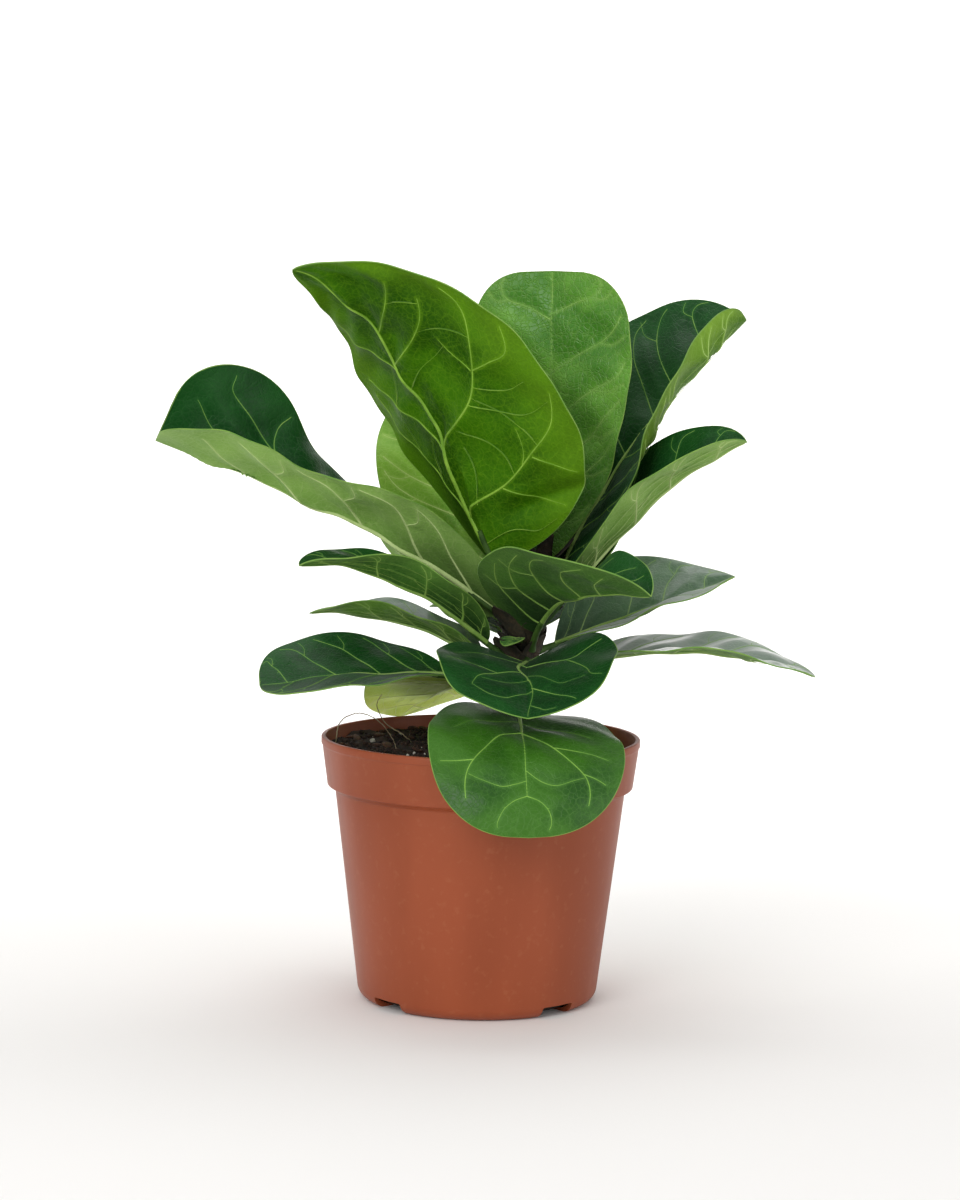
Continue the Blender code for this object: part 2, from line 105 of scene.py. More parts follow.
# ---- leaves, mm ----
PETIOLE_RADIUS = 1.7
BLADE_THICKNESS = 0.6
WAIST_SPAN = 0.12  # share of the blade's length that a waist reaches each way
OVER_RIM_LENGTH = 1.46 * RIM_RADIUS
LEAF_GRID = 1.0  # a blade's faces are a little smaller than this
PUFF = 1.2  # how far a blade 100 mm long swells between its veins
PUFF_REACH = 6.0  # distance from a vein at which the swelling is two thirds full
SWELL = 0.9  # height of the slow swells of a blade 100 mm long
RIPPLE = 0.3  # height of its ripples
VEIN_SPACING = 24.0  # length of blade to each side vein
VEIN_RUN = ((0, 0), (0.45, 0.32), (0.85, 0.6), (1.25, 0.8), (1.6, 0.92))  # ahead and outwards, in shares
BOLD_VEIN = 0.3  # side veins stronger than this are full rods, and the blade dips at them
MIDRIB_RADII = (1.55, 0.25)  # under the blade, at its base and tip
MIDRIB_RADII_ABOVE = (0.66, 0.22)
SIDE_VEIN_RADIUS = 0.68  # of the strongest, under the blade
SIDE_VEIN_RADIUS_ABOVE = 0.44
MARGIN_RADIUS = 0.3


class Leaf(NamedTuple):
    """How one leaf grows. Lengths in mm, angles in degrees, left and right as seen from the stem."""

    name: str
    node: float  # height of its foot on the stem above the soil
    heading: float  # compass direction from the stem: 0 is +X, 90 is +Y
    slope: tuple  # midrib above level at its foot, middle and tip
    turn: float  # sideways turn of the midrib from foot to tip, to the left
    petiole: float
    length: float
    widths: tuple  # half widths, left and right
    outline: tuple  # how full the blade is towards its base and its tip: 0.5 round, 1 pointed
    fold: tuple  # left base, left tip, right base, right tip: rise of each half beside the midrib
    curl: tuple  # further rise out to each margin, in the same order
    roll: tuple = (0, 0)  # blade turned about its midrib at base and tip
    wave: tuple = (1.5, 2.0, 0.0)  # margin ripple: height, count, phase
    waist: tuple = (0.5, 0.0)  # where the blade narrows, and by what share


LEAVES = [
    Leaf(
        "leaf_front_low", 18, 271, (4, -14, -84), 6, 12, OVER_RIM_LENGTH, (42, 40),
        outline=(0.5, 0.38), fold=(0, 0, 8, 0), curl=(6, -10, 6, -10), roll=(-4, 0),
    ),
    Leaf(
        "leaf_back_low", 26, 122, (6, -14, -30), 0, 14, 88, (36, 38),
        outline=(0.5, 0.55), fold=(10, 5, 10, 5), curl=(10, 0, 10, 0),
    ),
    Leaf(
        "leaf_left_low", 29, 186, (16, -2, -8), 0, 26, 84, (33, 33),
        outline=(0.7, 0.4), fold=(6, 6, 12, 12), curl=(5, 5, 15, 10), roll=(-6, -12),
    ),
    Leaf(
        "leaf_front_mid", 41, 270, (2, -9, -24), 0, 10, 74, (40, 40),
        outline=(0.4, 0.5), fold=(25, 10, 15, 10), curl=(10, 0, 10, 0),
    ),
    Leaf(
        "leaf_right_low", 36, 352, (16, 2, -20), 0, 22, 102, (30, 30),
        outline=(0.6, 0.7), fold=(8, 8, 8, 8), curl=(10, 0, 5, 0),
    ),
    Leaf(
        "leaf_back_left_low", 45, 124, (26, 14, 4), 0, 12, 48, (20, 18),
        outline=(0.6, 0.5), fold=(10, 5, 10, 5), curl=(5, 0, 5, 0),
    ),
    Leaf(
        "leaf_left_slim", 34, 168, (30, 16, -6), 4, 16, 80, (18, 20),
        outline=(0.6, 0.9), fold=(25, 25, 15, 15), curl=(10, 10, 10, 10),
    ),
    Leaf(
        "leaf_left_mid", 39, 210, (36, 28, -4), -8, 18, 98, (17, 20),
        outline=(0.6, 0.6), fold=(40, 20, 30, 20), curl=(20, 10, 20, 10),
    ),
    Leaf(
        "leaf_right_grey", 45, 12, (20, 20, 20), -4, 8, 86, (32, 26),
        outline=(0.9, 0.9), fold=(45, 30, 5, 5), curl=(10, 0, 5, 0),
    ),
    Leaf(
        "leaf_sprig", 50, 240, (20, -5, -20), 0, 4, 13, (5, 5),
        outline=(0.6, 0.7), fold=(10, 5, 10, 5), curl=(5, 0, 5, 0), wave=(0, 1, 0),
    ),
    Leaf(
        "leaf_front_small", 46, 289, (58, 14, 4), 40, 10, 88, (26, 42),
        outline=(0.5, 0.5), fold=(30, 42, 24, 25), curl=(10, 10, 12, 10),
    ),
    Leaf(
        "leaf_back_mid", 48, 92, (30, 26, 8), 0, 8, 62, (30, 28),
        outline=(0.55, 0.5), fold=(10, 5, 10, 5), curl=(5, 0, 5, 0),
    ),
    Leaf(
        "leaf_right_mid", 58, 350, (48, 46, 24), 0, 18, 102, (31, 26),
        outline=(0.6, 0.6), fold=(24, 45, 14, 20), curl=(10, 10, 10, 5),
    ),
    Leaf(
        "leaf_back_right", 58, 58, (52, 60, 62), 0, 10, 88, (14, 31),
        outline=(0.5, 0.45), fold=(10, 5, 10, 5), curl=(5, 0, 5, 0),
    ),
    Leaf(
        "leaf_back_left", 61, 126, (26, 62, 70), 0, 14, 112, (40, 18),
        outline=(0.6, 0.5), fold=(10, 5, 10, 5), curl=(5, 0, 5, 0), roll=(-10, -40),
    ),
    Leaf(
        "leaf_left_long", 53, 184, (42, 25, 22), 0, 12, 168, (38, 46),
        outline=(0.65, 0.22), fold=(62, 10, -55, 98), curl=(20, 10, 10, 10),
        wave=(4, 1, 1.57), waist=(0.6, 0.28),
    ),
    Leaf(
        "leaf_right_top", 66, 27, (62, 53, 40), -12, 12, 146, (46, 33),
        outline=(0.7, 0.4), fold=(15, 15, 15, 20), curl=(10, 10, 0, 95), roll=(22, 20),
    ),
    Leaf(
        "leaf_top_front", 62, 204, (50, 66, 8), -8, 26, 164, (65, 56),
        outline=(0.45, 0.7), fold=(5, -8, 38, 0), curl=(10, 0, 10, 5), roll=(32, 28),
        wave=(2, 1.5, 0), waist=(0.9, 0.22),
    ),
    Leaf(
        "leaf_top_back", 74, 78, (72, 85, 88), 0, 10, 128, (38, 43),
        outline=(0.6, 0.28), fold=(10, 5, 10, 10), curl=(10, 5, 10, 5), roll=(-12, -12),
    ),
]
# Upper and lower leaf tone of each leaf; the others have the first pair. Some tones paint in light and
# shade: shaded_under carries painted shade, and lime, lime_under, bright, bright_under and lit_under carry
# painted light coming through thin leaves.
TONES = {
    "usual": ("deep", "olive"),
    "leaf_front_low": ("fresh", "olive"),
    "leaf_back_low": ("lime", "lime_under"),
    "leaf_front_small": ("deep", "shaded_under"),
    "leaf_left_mid": ("deep", "shaded_under"),
    "leaf_left_long": ("deep", "pale_under"),
    "leaf_right_mid": ("deep", "pale_under"),
    "leaf_right_top": ("deep", "bright_under"),
    "leaf_top_front": ("deep", "lit_under"),
    "leaf_back_left": ("bright", "bright_under"),
    "leaf_top_back": ("spring", "olive"),
    "leaf_right_grey": ("grey", "olive"),
    "leaf_right_low": ("grey", "olive"),
    "leaf_left_slim": ("grey", "olive"),
}
# Deep folds: where one starts and how it climbs along the blade, its width as a share, its depth in mm.
CREASES = {"leaf_top_front": (0.12, 0.03, 0.035, 4.5)}
NO_CREASE = (0.0, 0.0, 1.0, 0.0)
# Veins drawn one by one as (s, v) waypoints where a leaf's own pattern shows clearly.
MIDRIBS = {
    "usual": ((0, 0), (0.35, 0.02), (0.7, -0.02), (0.99, 0)),
    "leaf_top_front": (
        (0, 0), (0.16, -0.16), (0.35, -0.12), (0.49, -0.22), (0.6, -0.27), (0.7, -0.25), (0.85, -0.3),
        (0.99, 0),
    ),
    "leaf_front_low": ((0, 0), (0.47, 0), (0.7, 0), (0.83, 0)),
    "leaf_front_mid": ((0, 0), (0.2, -0.1), (0.37, -0.06), (0.56, 0.04), (0.75, 0.06), (0.99, 0)),
}
OWN_VEINS = {
    "leaf_top_front": (
        (1.0, ((0.13, -0.14), (0.17, 0), (0.21, 0.35), (0.28, 0.62), (0.34, 0.82), (0.42, 0.93))),
        (0.5, ((0.2, 0.32), (0.14, 0.64), (0.11, 0.9))),
        (0.5, ((0.27, 0.62), (0.22, 0.84), (0.2, 0.95))),
        (0.4, ((0.25, 0.52), (0.29, 0.56), (0.35, 0.56))),
        (0.9, ((0.3, -0.14), (0.35, -0.08), (0.44, 0.29), (0.53, 0.48), (0.66, 0.78), (0.73, 0.9))),
        (0.6, ((0.52, 0.46), (0.53, 0.65), (0.54, 0.82), (0.6, 0.95))),
        (0.4, ((0.52, 0.44), (0.57, 0.38), (0.62, 0.36))),
        (0.6, ((0.59, -0.26), (0.63, 0.05), (0.68, 0.36), (0.73, 0.55))),
        (0.5, ((0.69, -0.25), (0.74, 0.1), (0.78, 0.39), (0.81, 0.66))),
        (0.9, ((0.12, -0.12), (0.15, -0.22), (0.24, -0.46), (0.36, -0.75), (0.5, -0.86))),
        (0.8, ((0.32, -0.13), (0.38, -0.28), (0.47, -0.61), (0.55, -0.88))),
        (0.6, ((0.57, -0.27), (0.6, -0.4), (0.68, -0.7), (0.76, -0.86))),
        (0.3, ((0.44, 0.29), (0.4, 0.5), (0.38, 0.68), (0.4, 0.88))),
        (0.25, ((0.48, 0.38), (0.45, 0.6), (0.46, 0.78))),
        (0.25, ((0.51, -0.22), (0.56, 0.02), (0.58, 0.2), (0.6, 0.36))),
        (0.3, ((0.06, 0), (0.08, 0.35), (0.06, 0.7), (0.08, 0.88))),
        (0.22, ((0.17, 0.06), (0.25, 0.12), (0.33, 0.1))),
        (0.22, ((0.23, 0.44), (0.31, 0.36), (0.38, 0.1))),
        (0.22, ((0.3, 0.68), (0.37, 0.56), (0.46, 0.33))),
        (0.22, ((0.6, 0.64), (0.64, 0.5), (0.66, 0.22))),
        (0.22, ((0.23, -0.44), (0.3, -0.38), (0.37, -0.26))),
        (0.22, ((0.3, -0.64), (0.38, -0.6), (0.45, -0.54))),
        (0.22, ((0.46, -0.58), (0.53, -0.5), (0.59, -0.36))),
        (0.22, ((0.72, 0.5), (0.75, 0.4), (0.76, 0.24))),
    ),
    "leaf_front_low": (
        (1.0, ((0.45, 0), (0.51, 0.14), (0.57, 0.29), (0.71, 0.58), (0.78, 0.68), (0.87, 0.77))),
        (1.0, ((0.44, 0), (0.47, -0.15), (0.51, -0.27), (0.64, -0.51), (0.72, -0.64), (0.84, -0.76))),
        (0.7, ((0.72, 0.59), (0.74, 0.72), (0.77, 0.86))),
        (0.6, ((0.57, 0.29), (0.58, 0.46), (0.6, 0.66), (0.64, 0.84))),
        (0.8, ((0.66, -0.54), (0.665, -0.7), (0.67, -0.9))),
        (0.6, ((0.83, 0), (0.85, 0.14), (0.885, 0.26), (0.93, 0.36), (0.97, 0.44))),
        (0.5, ((0.83, 0), (0.85, -0.16), (0.88, -0.3), (0.92, -0.44), (0.96, -0.6))),
        (0.3, ((0.88, -0.3), (0.875, -0.42), (0.9, -0.54))),
        (0.3, ((0.885, 0.26), (0.87, 0.38), (0.89, 0.5))),
        (0.5, ((0.71, 0), (0.76, 0.16), (0.78, 0.33), (0.76, 0.5), (0.74, 0.62))),
        (0.5, ((0.76, 0), (0.78, -0.14), (0.79, -0.3), (0.76, -0.5), (0.73, -0.63))),
        (0.35, ((0.3, 0), (0.36, 0.2), (0.4, 0.45), (0.46, 0.7))),
        (0.35, ((0.28, 0), (0.34, -0.22), (0.38, -0.5), (0.46, -0.74))),
    ),
    "leaf_front_mid": (
        (1.0, ((0.16, -0.09), (0.2, 0.05), (0.24, 0.2), (0.35, 0.46), (0.3, 0.7), (0.27, 0.93))),
        (0.7, ((0.36, 0.46), (0.46, 0.56), (0.58, 0.68), (0.66, 0.76), (0.7, 0.92))),
        (0.9, ((0.37, -0.07), (0.42, -0.2), (0.47, -0.32), (0.6, -0.55), (0.66, -0.62), (0.73, -0.7))),
        (0.5, ((0.47, -0.32), (0.42, -0.5), (0.42, -0.7), (0.48, -0.9))),
        (0.8, ((0.64, 0.05), (0.72, 0.22), (0.79, 0.41), (0.84, 0.62), (0.88, 0.84))),
        (0.6, ((0.68, 0.05), (0.76, -0.14), (0.82, -0.34), (0.82, -0.56), (0.73, -0.7))),
        (0.5, ((0.86, 0.04), (0.9, 0.18), (0.94, 0.4), (0.93, 0.62))),
        (0.4, ((0.12, -0.06), (0.14, -0.3), (0.2, -0.6), (0.3, -0.84))),
        (0.35, ((0.45, 0.02), (0.52, 0.16), (0.6, 0.26), (0.68, 0.42), (0.66, 0.68))),
        (0.35, ((0.52, 0.02), (0.58, -0.14), (0.62, -0.3), (0.62, -0.52))),
    ),
    "leaf_left_long": (
        (0.9, ((0.08, 0), (0.12, 0.2), (0.19, 0.48), (0.25, 0.74), (0.33, 0.9))),
        (1.0, ((0.24, 0), (0.28, 0.22), (0.33, 0.5), (0.39, 0.76), (0.48, 0.9))),
        (0.9, ((0.42, 0), (0.46, 0.2), (0.5, 0.46), (0.56, 0.72), (0.64, 0.88))),
        (0.8, ((0.59, 0), (0.63, 0.24), (0.69, 0.5), (0.74, 0.72), (0.8, 0.84))),
        (0.6, ((0.75, 0), (0.8, 0.24), (0.85, 0.48), (0.89, 0.7))),
        (0.4, ((0.33, 0.5), (0.31, 0.68), (0.33, 0.92))),
        (0.4, ((0.5, 0.46), (0.48, 0.66), (0.5, 0.9))),
        (0.4, ((0.69, 0.5), (0.67, 0.66), (0.69, 0.88))),
        (0.8, ((0.16, 0), (0.2, -0.24), (0.27, -0.52), (0.36, -0.8))),
        (0.9, ((0.34, 0), (0.39, -0.24), (0.46, -0.5), (0.54, -0.8))),
        (1.0, ((0.55, 0), (0.62, -0.2), (0.7, -0.42), (0.72, -0.66), (0.7, -0.9))),
        (0.8, ((0.7, -0.42), (0.78, -0.54), (0.86, -0.72), (0.87, -0.9))),
        (0.7, ((0.76, 0), (0.82, -0.18), (0.89, -0.36), (0.94, -0.6))),
        (0.3, ((0.39, -0.24), (0.47, -0.2), (0.57, -0.14))),
        (0.3, ((0.7, -0.42), (0.78, -0.34), (0.85, -0.26))),
    ),
    "leaf_front_small": (
        (1.0, ((0.08, 0), (0.1, -0.22), (0.16, -0.48), (0.26, -0.72), (0.4, -0.88))),
        (1.0, ((0.22, 0), (0.25, -0.24), (0.31, -0.5), (0.41, -0.72), (0.54, -0.86))),
        (0.9, ((0.38, 0), (0.41, -0.24), (0.47, -0.5), (0.56, -0.72), (0.68, -0.86))),
        (0.8, ((0.55, 0), (0.59, -0.26), (0.65, -0.5), (0.73, -0.7), (0.82, -0.84))),
        (0.7, ((0.7, 0), (0.75, -0.24), (0.81, -0.46), (0.87, -0.66))),
        (0.8, ((0.1, 0), (0.16, 0.3), (0.26, 0.6), (0.4, 0.84))),
        (0.8, ((0.3, 0), (0.37, 0.3), (0.48, 0.6), (0.6, 0.84))),
        (0.7, ((0.52, 0), (0.59, 0.28), (0.7, 0.56), (0.8, 0.8))),
        (0.6, ((0.72, 0), (0.78, 0.26), (0.86, 0.5), (0.9, 0.74))),
        (0.4, ((0.31, -0.5), (0.25, -0.66), (0.27, -0.9))),
        (0.4, ((0.47, -0.5), (0.42, -0.66), (0.44, -0.9))),
    ),
}


# ---- shapes ----
def level(heading):
    """Level direction at a heading in degrees."""
    return np.array([math.cos(math.radians(heading)), math.sin(math.radians(heading)), 0.0])


def stem_point(height):
    """Middle of the stem at a height above the soil."""
    x = STEM_FOOT[0] + STEM_LEAN[0] * height
    y = STEM_FOOT[1] + STEM_LEAN[1] * height
    return np.array([x, y, SOIL_TOP + height])


def stem_radius(height):
    """Radius of the tapering stem at a height above the soil."""
    return STEM_RADIUS + (STEM_TIP_RADIUS - STEM_RADIUS) * np.clip(height / STEM_LENGTH, 0, 1)


def through(values, t):
    """Smooth value at t from 0 to 1 through three values at 0, 0.5 and 1."""
    a, b, c = values
    return a + (4 * b - 3 * a - c) * t + (2 * a + 2 * c - 4 * b) * t * t


def midrib(leaf, count=96):
    """Points along petiole and midrib, and the along, left and up directions at each."""
    t = np.linspace(0, 1, count)
    slope = np.radians(through(leaf.slope, t))
    heading = np.radians(leaf.heading + leaf.turn * t * t)
    ahead = np.stack([np.cos(heading), np.sin(heading), np.zeros(count)], 1)
    left = np.stack([-np.sin(heading), np.cos(heading), np.zeros(count)], 1)
    along = ahead * np.cos(slope)[:, None] + np.array([0, 0, 1]) * np.sin(slope)[:, None]
    up = np.cross(along, left)
    step = (leaf.petiole + leaf.length) / (count - 1)
    foot = stem_point(leaf.node) + level(leaf.heading) * (stem_radius(leaf.node) + FOOT_GAP)
    travel = np.cumsum((along[1:] + along[:-1]) / 2, 0) * step
    return t, foot + np.concatenate([[np.zeros(3)], travel]), along, left, up


def outline(leaf, s):
    """Share of the full half width at s from the blade's base, 0, to its tip, 1."""
    p, q = leaf.outline
    peak = p / (p + q)
    s = np.clip(s, 0, 1)
    place, share = leaf.waist
    full = s**p * (1 - s) ** q / (peak**p * (1 - peak) ** q)
    return full * (1 - share * np.exp(-(((s - place) / WAIST_SPAN) ** 2)))


def read_along(values, t, at):
    """Each column of values, known at t, read at other places."""
    return np.stack([np.interp(at, t, values[:, column]) for column in range(3)], -1)


def margin_angle(four, s, is_left):
    """Angle in radians at s from a leaf's left base, left tip, right base, right tip values."""
    left = four[0] + (four[1] - four[0]) * s
    right = four[2] + (four[3] - four[2]) * s
    return np.radians(np.where(is_left, left, right))


def blade_half(leaf, s, v):
    """Half width in mm at s, on the side that v is on."""
    return np.where(v > 0, leaf.widths[0], leaf.widths[1]) * outline(leaf, s)


def blade_point(leaf, ribs, s, v):
    """Point and normal of the blade's middle surface.

    s runs from the blade's base, 0, to its tip, 1, and below 0 down the petiole. v runs from the
    right margin, -1, to the left one, 1. Both are arrays of one shape.
    """
    t, points, _, left, up = ribs
    at = (leaf.petiole + s * leaf.length) / (leaf.petiole + leaf.length)
    mid = read_along(points, t, at)
    side = read_along(left, t, at)
    rise = read_along(up, t, at)
    within = np.clip(s, 0, 1)
    roll = np.radians(leaf.roll[0] + (leaf.roll[1] - leaf.roll[0]) * within)[..., None]
    side, rise = side * np.cos(roll) + rise * np.sin(roll), rise * np.cos(roll) - side * np.sin(roll)
    is_left = v > 0
    fold = margin_angle(leaf.fold, within, is_left)
    curl = margin_angle(leaf.curl, within, is_left)
    curl = np.where(np.abs(curl) < 1e-4, 1e-4, curl)  # an arc needs some curl
    half = blade_half(leaf, s, v)
    angle = fold + curl * np.abs(v)
    out = half * (np.sin(angle) - np.sin(fold)) / curl
    lift = half * (np.cos(fold) - np.cos(angle)) / curl
    height, count, phase = leaf.wave
    ripple = np.sin(math.tau * count * s + np.where(is_left, phase, phase + 0.9))
    swing = height * v**2 * ripple * np.sin(math.pi * within) ** 0.7
    sign = np.where(is_left, 1.0, -1.0)
    normal = rise * np.cos(angle)[..., None] - side * (sign * np.sin(angle))[..., None]
    point = mid + side * (sign * out)[..., None] + rise * lift[..., None] + normal * swing[..., None]
    return point, normal


def crease(leaf, s, v):
    """Depth in mm of the deep fold that runs out to one margin near a blade's base."""
    start, climb, width, depth = CREASES.get(leaf.name, NO_CREASE)
    line = start + climb * v
    return depth * np.exp(-(((s - line) / width) ** 2)) * np.clip((v - 0.15) * 2.5, 0, 1)


def unevenness(leaf, s, v):
    """How far a living blade is from smooth, in mm along its normal.

    Swells about 50 mm apart carry ripples about 18 mm apart, and neither reaches its base or tip.
    """
    x = s * leaf.length
    y = v * (leaf.widths[0] + leaf.widths[1]) / 2
    start = leaf.node + leaf.heading
    swell = np.sin(x * 0.13 + start) * np.sin(y * 0.12 + start * 1.7)
    ripple = np.sin(x * 0.27 - y * 0.23 + start * 0.6)
    size = leaf.length / 100
    free = np.clip(s * 3 - 0.2, 0, 1) * np.clip((1 - s) * 6, 0, 1)
    return (SWELL * swell + RIPPLE * ripple) * size * free + crease(leaf, s, v)


# ---- veins ----
def smooth_path(waypoints, step):
    """Points every step along a smooth curve through (s, v) or (x, y, z) waypoints."""
    knots = [np.array(point, float) for point in waypoints]
    knots = [2 * knots[0] - knots[1]] + knots + [2 * knots[-1] - knots[-2]]
    path = []
    for a, b, c, d in zip(knots, knots[1:], knots[2:], knots[3:]):
        count = max(2, math.ceil(np.linalg.norm(c - b) / step))
        for t in np.arange(count) / count:
            bend = (2 * a - 5 * b + 4 * c - d) * t**2
            twist = (3 * b - a - 3 * c + d) * t**3
            path.append((2 * b + (c - a) * t + bend + twist) / 2)
    path.append(knots[-2])
    return np.array(path)


def grown_veins(leaf, rng):
    """(strength, waypoints) of the side veins of a leaf with no pattern of its own.

    Each side vein forks near the margin and has a twig, and faint rungs join it to the next.
    """
    veins = []
    for side in (1, -1):
        wide = leaf.widths[0 if side > 0 else 1]
        count = max(4, round(leaf.length / VEIN_SPACING))
        places = [0.03 if side > 0 else 0.05]
        for k in range(count):
            places.append(0.15 + 0.68 * k / (count - 1) + rng.uniform(-0.025, 0.025))
        trails = []
        for k, start in enumerate(places):
            ahead = 0.52 * wide / leaf.length * (1 - 0.3 * start)
            ahead = ahead * rng.uniform(0.85, 1.15) * (1 if k else 0.6)
            reach = min(1.0, (0.97 - start) / (1.6 * ahead))
            straight = [(start + ahead * reach * gone, side * share) for gone, share in VEIN_RUN]
            trail = [straight[0]]
            for s, v in straight[1:-1]:
                trail.append((s + rng.uniform(-0.008, 0.008), v + side * rng.uniform(-0.03, 0.03)))
            trail.append(straight[-1])
            trails.append(trail)
            veins.append((1.0 - 0.45 * start if k else 0.6, trail))
            (near_s, _), (far_s, _) = trail[1:3]
            fork = [trail[2], (far_s - 0.005, side * 0.76), (far_s + 0.02, side * 0.93)]
            veins.append((0.42, fork))
            twig = [trail[1], (near_s + ahead * 0.5, side * 0.34), (near_s + ahead * 0.95, side * 0.42)]
            veins.append((0.3, twig))
        for near, far in zip(trails, trails[1:]):
            for share in (0.2, 0.42, 0.66):
                low, high = vein_place(near, share), vein_place(far, share - 0.04)
                bow = side * rng.uniform(-0.05, 0.05)
                middle = ((low[0] + high[0]) / 2, (low[1] + high[1]) / 2 + bow)
                veins.append((0.12, [low, middle, high]))
    return veins


def vein_place(trail, share):
    """The point on a side vein where it has gone this share of the way to the margin."""
    across = [abs(v) for _, v in trail]
    return np.interp(share, across, [s for s, _ in trail]), math.copysign(share, trail[-1][1])


def leaf_veins(leaf, rng):
    """Every vein of a leaf as (strength, (s, v) points), the midrib first, at strength 0."""
    rib = MIDRIBS.get(leaf.name, MIDRIBS["usual"])
    made = []
    side_veins = OWN_VEINS.get(leaf.name) or grown_veins(leaf, rng)
    for strength, waypoints in [(0, rib), *side_veins]:
        path = smooth_path(waypoints, 0.02)
        path[:, 0] = np.clip(path[:, 0], 0, 0.995)
        path[:, 1] = np.clip(path[:, 1], -0.97, 0.97)
        made.append((strength, path))
    return made


# ---- blades ----
UPPER, UNDER, UPPER_VEIN, UNDER_VEIN, MARGIN, STALK = range(6)  # material slots of a leaf


def vein_distance(leaf, veins, s, v):
    """Distance in mm from each (s, v) to the nearest strong vein, measured over the flat blade."""
    lines = [path for strength, path in veins if strength == 0 or strength > BOLD_VEIN]
    line = np.concatenate(lines)
    line_x = line[:, 0] * leaf.length
    line_y = line[:, 1] * blade_half(leaf, line[:, 0], line[:, 1])
    x, y = s * leaf.length, v * blade_half(leaf, s, v)
    near = np.empty(x.shape)
    for row in range(x.shape[0]):
        gaps = (x[row][:, None] - line_x) ** 2 + (y[row][:, None] - line_y) ** 2
        near[row] = np.sqrt(gaps.min(1))
    return near


def blade_slab(columns, rows):
    """Flat closed slab of quads over x and y from -1 to 1, one layer at z = 0 and one at z = 1."""
    work = bmesh.new()
    bmesh.ops.create_grid(work, x_segments=columns, y_segments=rows, size=1.0)
    whole = work.verts[:] + work.edges[:] + work.faces[:]
    raised = bmesh.ops.extrude_face_region(work, geom=whole, use_keep_orig=True)["geom"]
    top = [item for item in raised if isinstance(item, bmesh.types.BMVert)]
    bmesh.ops.translate(work, verts=top, vec=(0, 0, 1))
    bmesh.ops.recalc_face_normals(work, faces=work.faces)
    mesh = bpy.data.meshes.new("slab")
    work.to_mesh(mesh)
    work.free()
    return mesh


def coordinates(mesh):
    """A mesh's points as rows of x, y and z."""
    values = np.empty(len(mesh.vertices) * 3)
    mesh.vertices.foreach_get("co", values)
    return values.reshape(-1, 3)


def blade(leaf, ribs, veins):
    """The blade's shell.

    Each point keeps what its colour depends on: how far it is from a vein, how near the margin,
    where painted light lightens the blade, and how near the foot, where painted shade darkens it.
    """
    columns = max(12, round(sum(leaf.widths) * 1.15 / LEAF_GRID))
    rows = max(16, round(leaf.length * 1.35 / LEAF_GRID))
    mesh = blade_slab(columns, rows)
    flat = coordinates(mesh)
    i = np.rint((flat[:, 1] + 1) / 2 * rows).astype(int)
    j = np.rint((flat[:, 0] + 1) / 2 * columns).astype(int)
    t = np.linspace(0, 1, rows + 1)
    s = 0.3 * t + 0.7 * t * t * (3 - 2 * t)  # rows lie closer at the base and tip
    s, v = np.meshgrid(s, np.linspace(-1, 1, columns + 1), indexing="ij")
    near = vein_distance(leaf, veins, s, v)
    point, normal = blade_point(leaf, ribs, s, v)
    puff = PUFF * leaf.length / 100 * (1 - np.exp(-((near / PUFF_REACH) ** 1.5)))
    puff *= (1 - v**6) * np.clip((1 - s) * 8, 0, 1) * np.clip(s * 4 + 0.1, 0, 1)
    point += normal * (puff + unevenness(leaf, s, v))[..., None]
    layer = np.where(flat[:, 2] > 0.5, 0.5, -0.5) * BLADE_THICKNESS
    placed = point[i, j] + normal[i, j] * layer[:, None]
    mesh.vertices.foreach_set("co", placed.ravel())
    kept = {"vein_mm": near, "edge": np.abs(v), "foot": (1 - s) * (1 - 0.3 * np.abs(v))}
    for name, values in kept.items():
        attribute = mesh.attributes.new(name, "FLOAT", "POINT")
        attribute.data.foreach_set("value", values[i, j])
    faces = len(mesh.polygons)
    loops = np.empty(faces * 4, np.int32)
    mesh.polygons.foreach_get("vertices", loops)
    tops = (flat[loops, 2] > 0.5).reshape(faces, 4).sum(1)
    kind = np.where(tops == 4, UPPER, np.where(tops == 0, UNDER, MARGIN)).astype(np.int32)
    mesh.polygons.foreach_set("material_index", kind)
    return mesh


def tubes(lines, resolution, material_index):
    """Round rods with filled ends along (points, radii) lines, as one mesh."""
    curve = bpy.data.curves.new("tubes", "CURVE")
    curve.dimensions = "3D"
    curve.bevel_depth = 1.0
    curve.bevel_resolution = resolution
    curve.use_fill_caps = True
    for points, radii in lines:
        spline = curve.splines.new("POLY")
        spline.points.add(len(points) - 1)
        spline.points.foreach_set("co", np.column_stack([points, np.ones(len(points))]).ravel())
        spline.points.foreach_set("radius", radii)
    mesh = settled(bpy.data.objects.new("tubes", curve))
    mesh.polygons.foreach_set("material_index", np.full(len(mesh.polygons), material_index, np.int32))
    return mesh


def settled(thing):
    """The mesh of an object as its modifiers or its bevel leave it. The object is removed."""
    COLLECTION.objects.link(thing)
    graph = bpy.context.evaluated_depsgraph_get()
    mesh = bpy.data.meshes.new_from_object(thing.evaluated_get(graph), depsgraph=graph)
    bpy.data.objects.remove(thing, do_unlink=True)
    return mesh


def on_blade(leaf, ribs, path, height):
    """Points of an (s, v) path lifted by height along the blade's normal."""
    s, v = path[:, 0], path[:, 1]
    point, normal = blade_point(leaf, ribs, s, v)
    return point + normal * (unevenness(leaf, s, v) + height)[:, None]


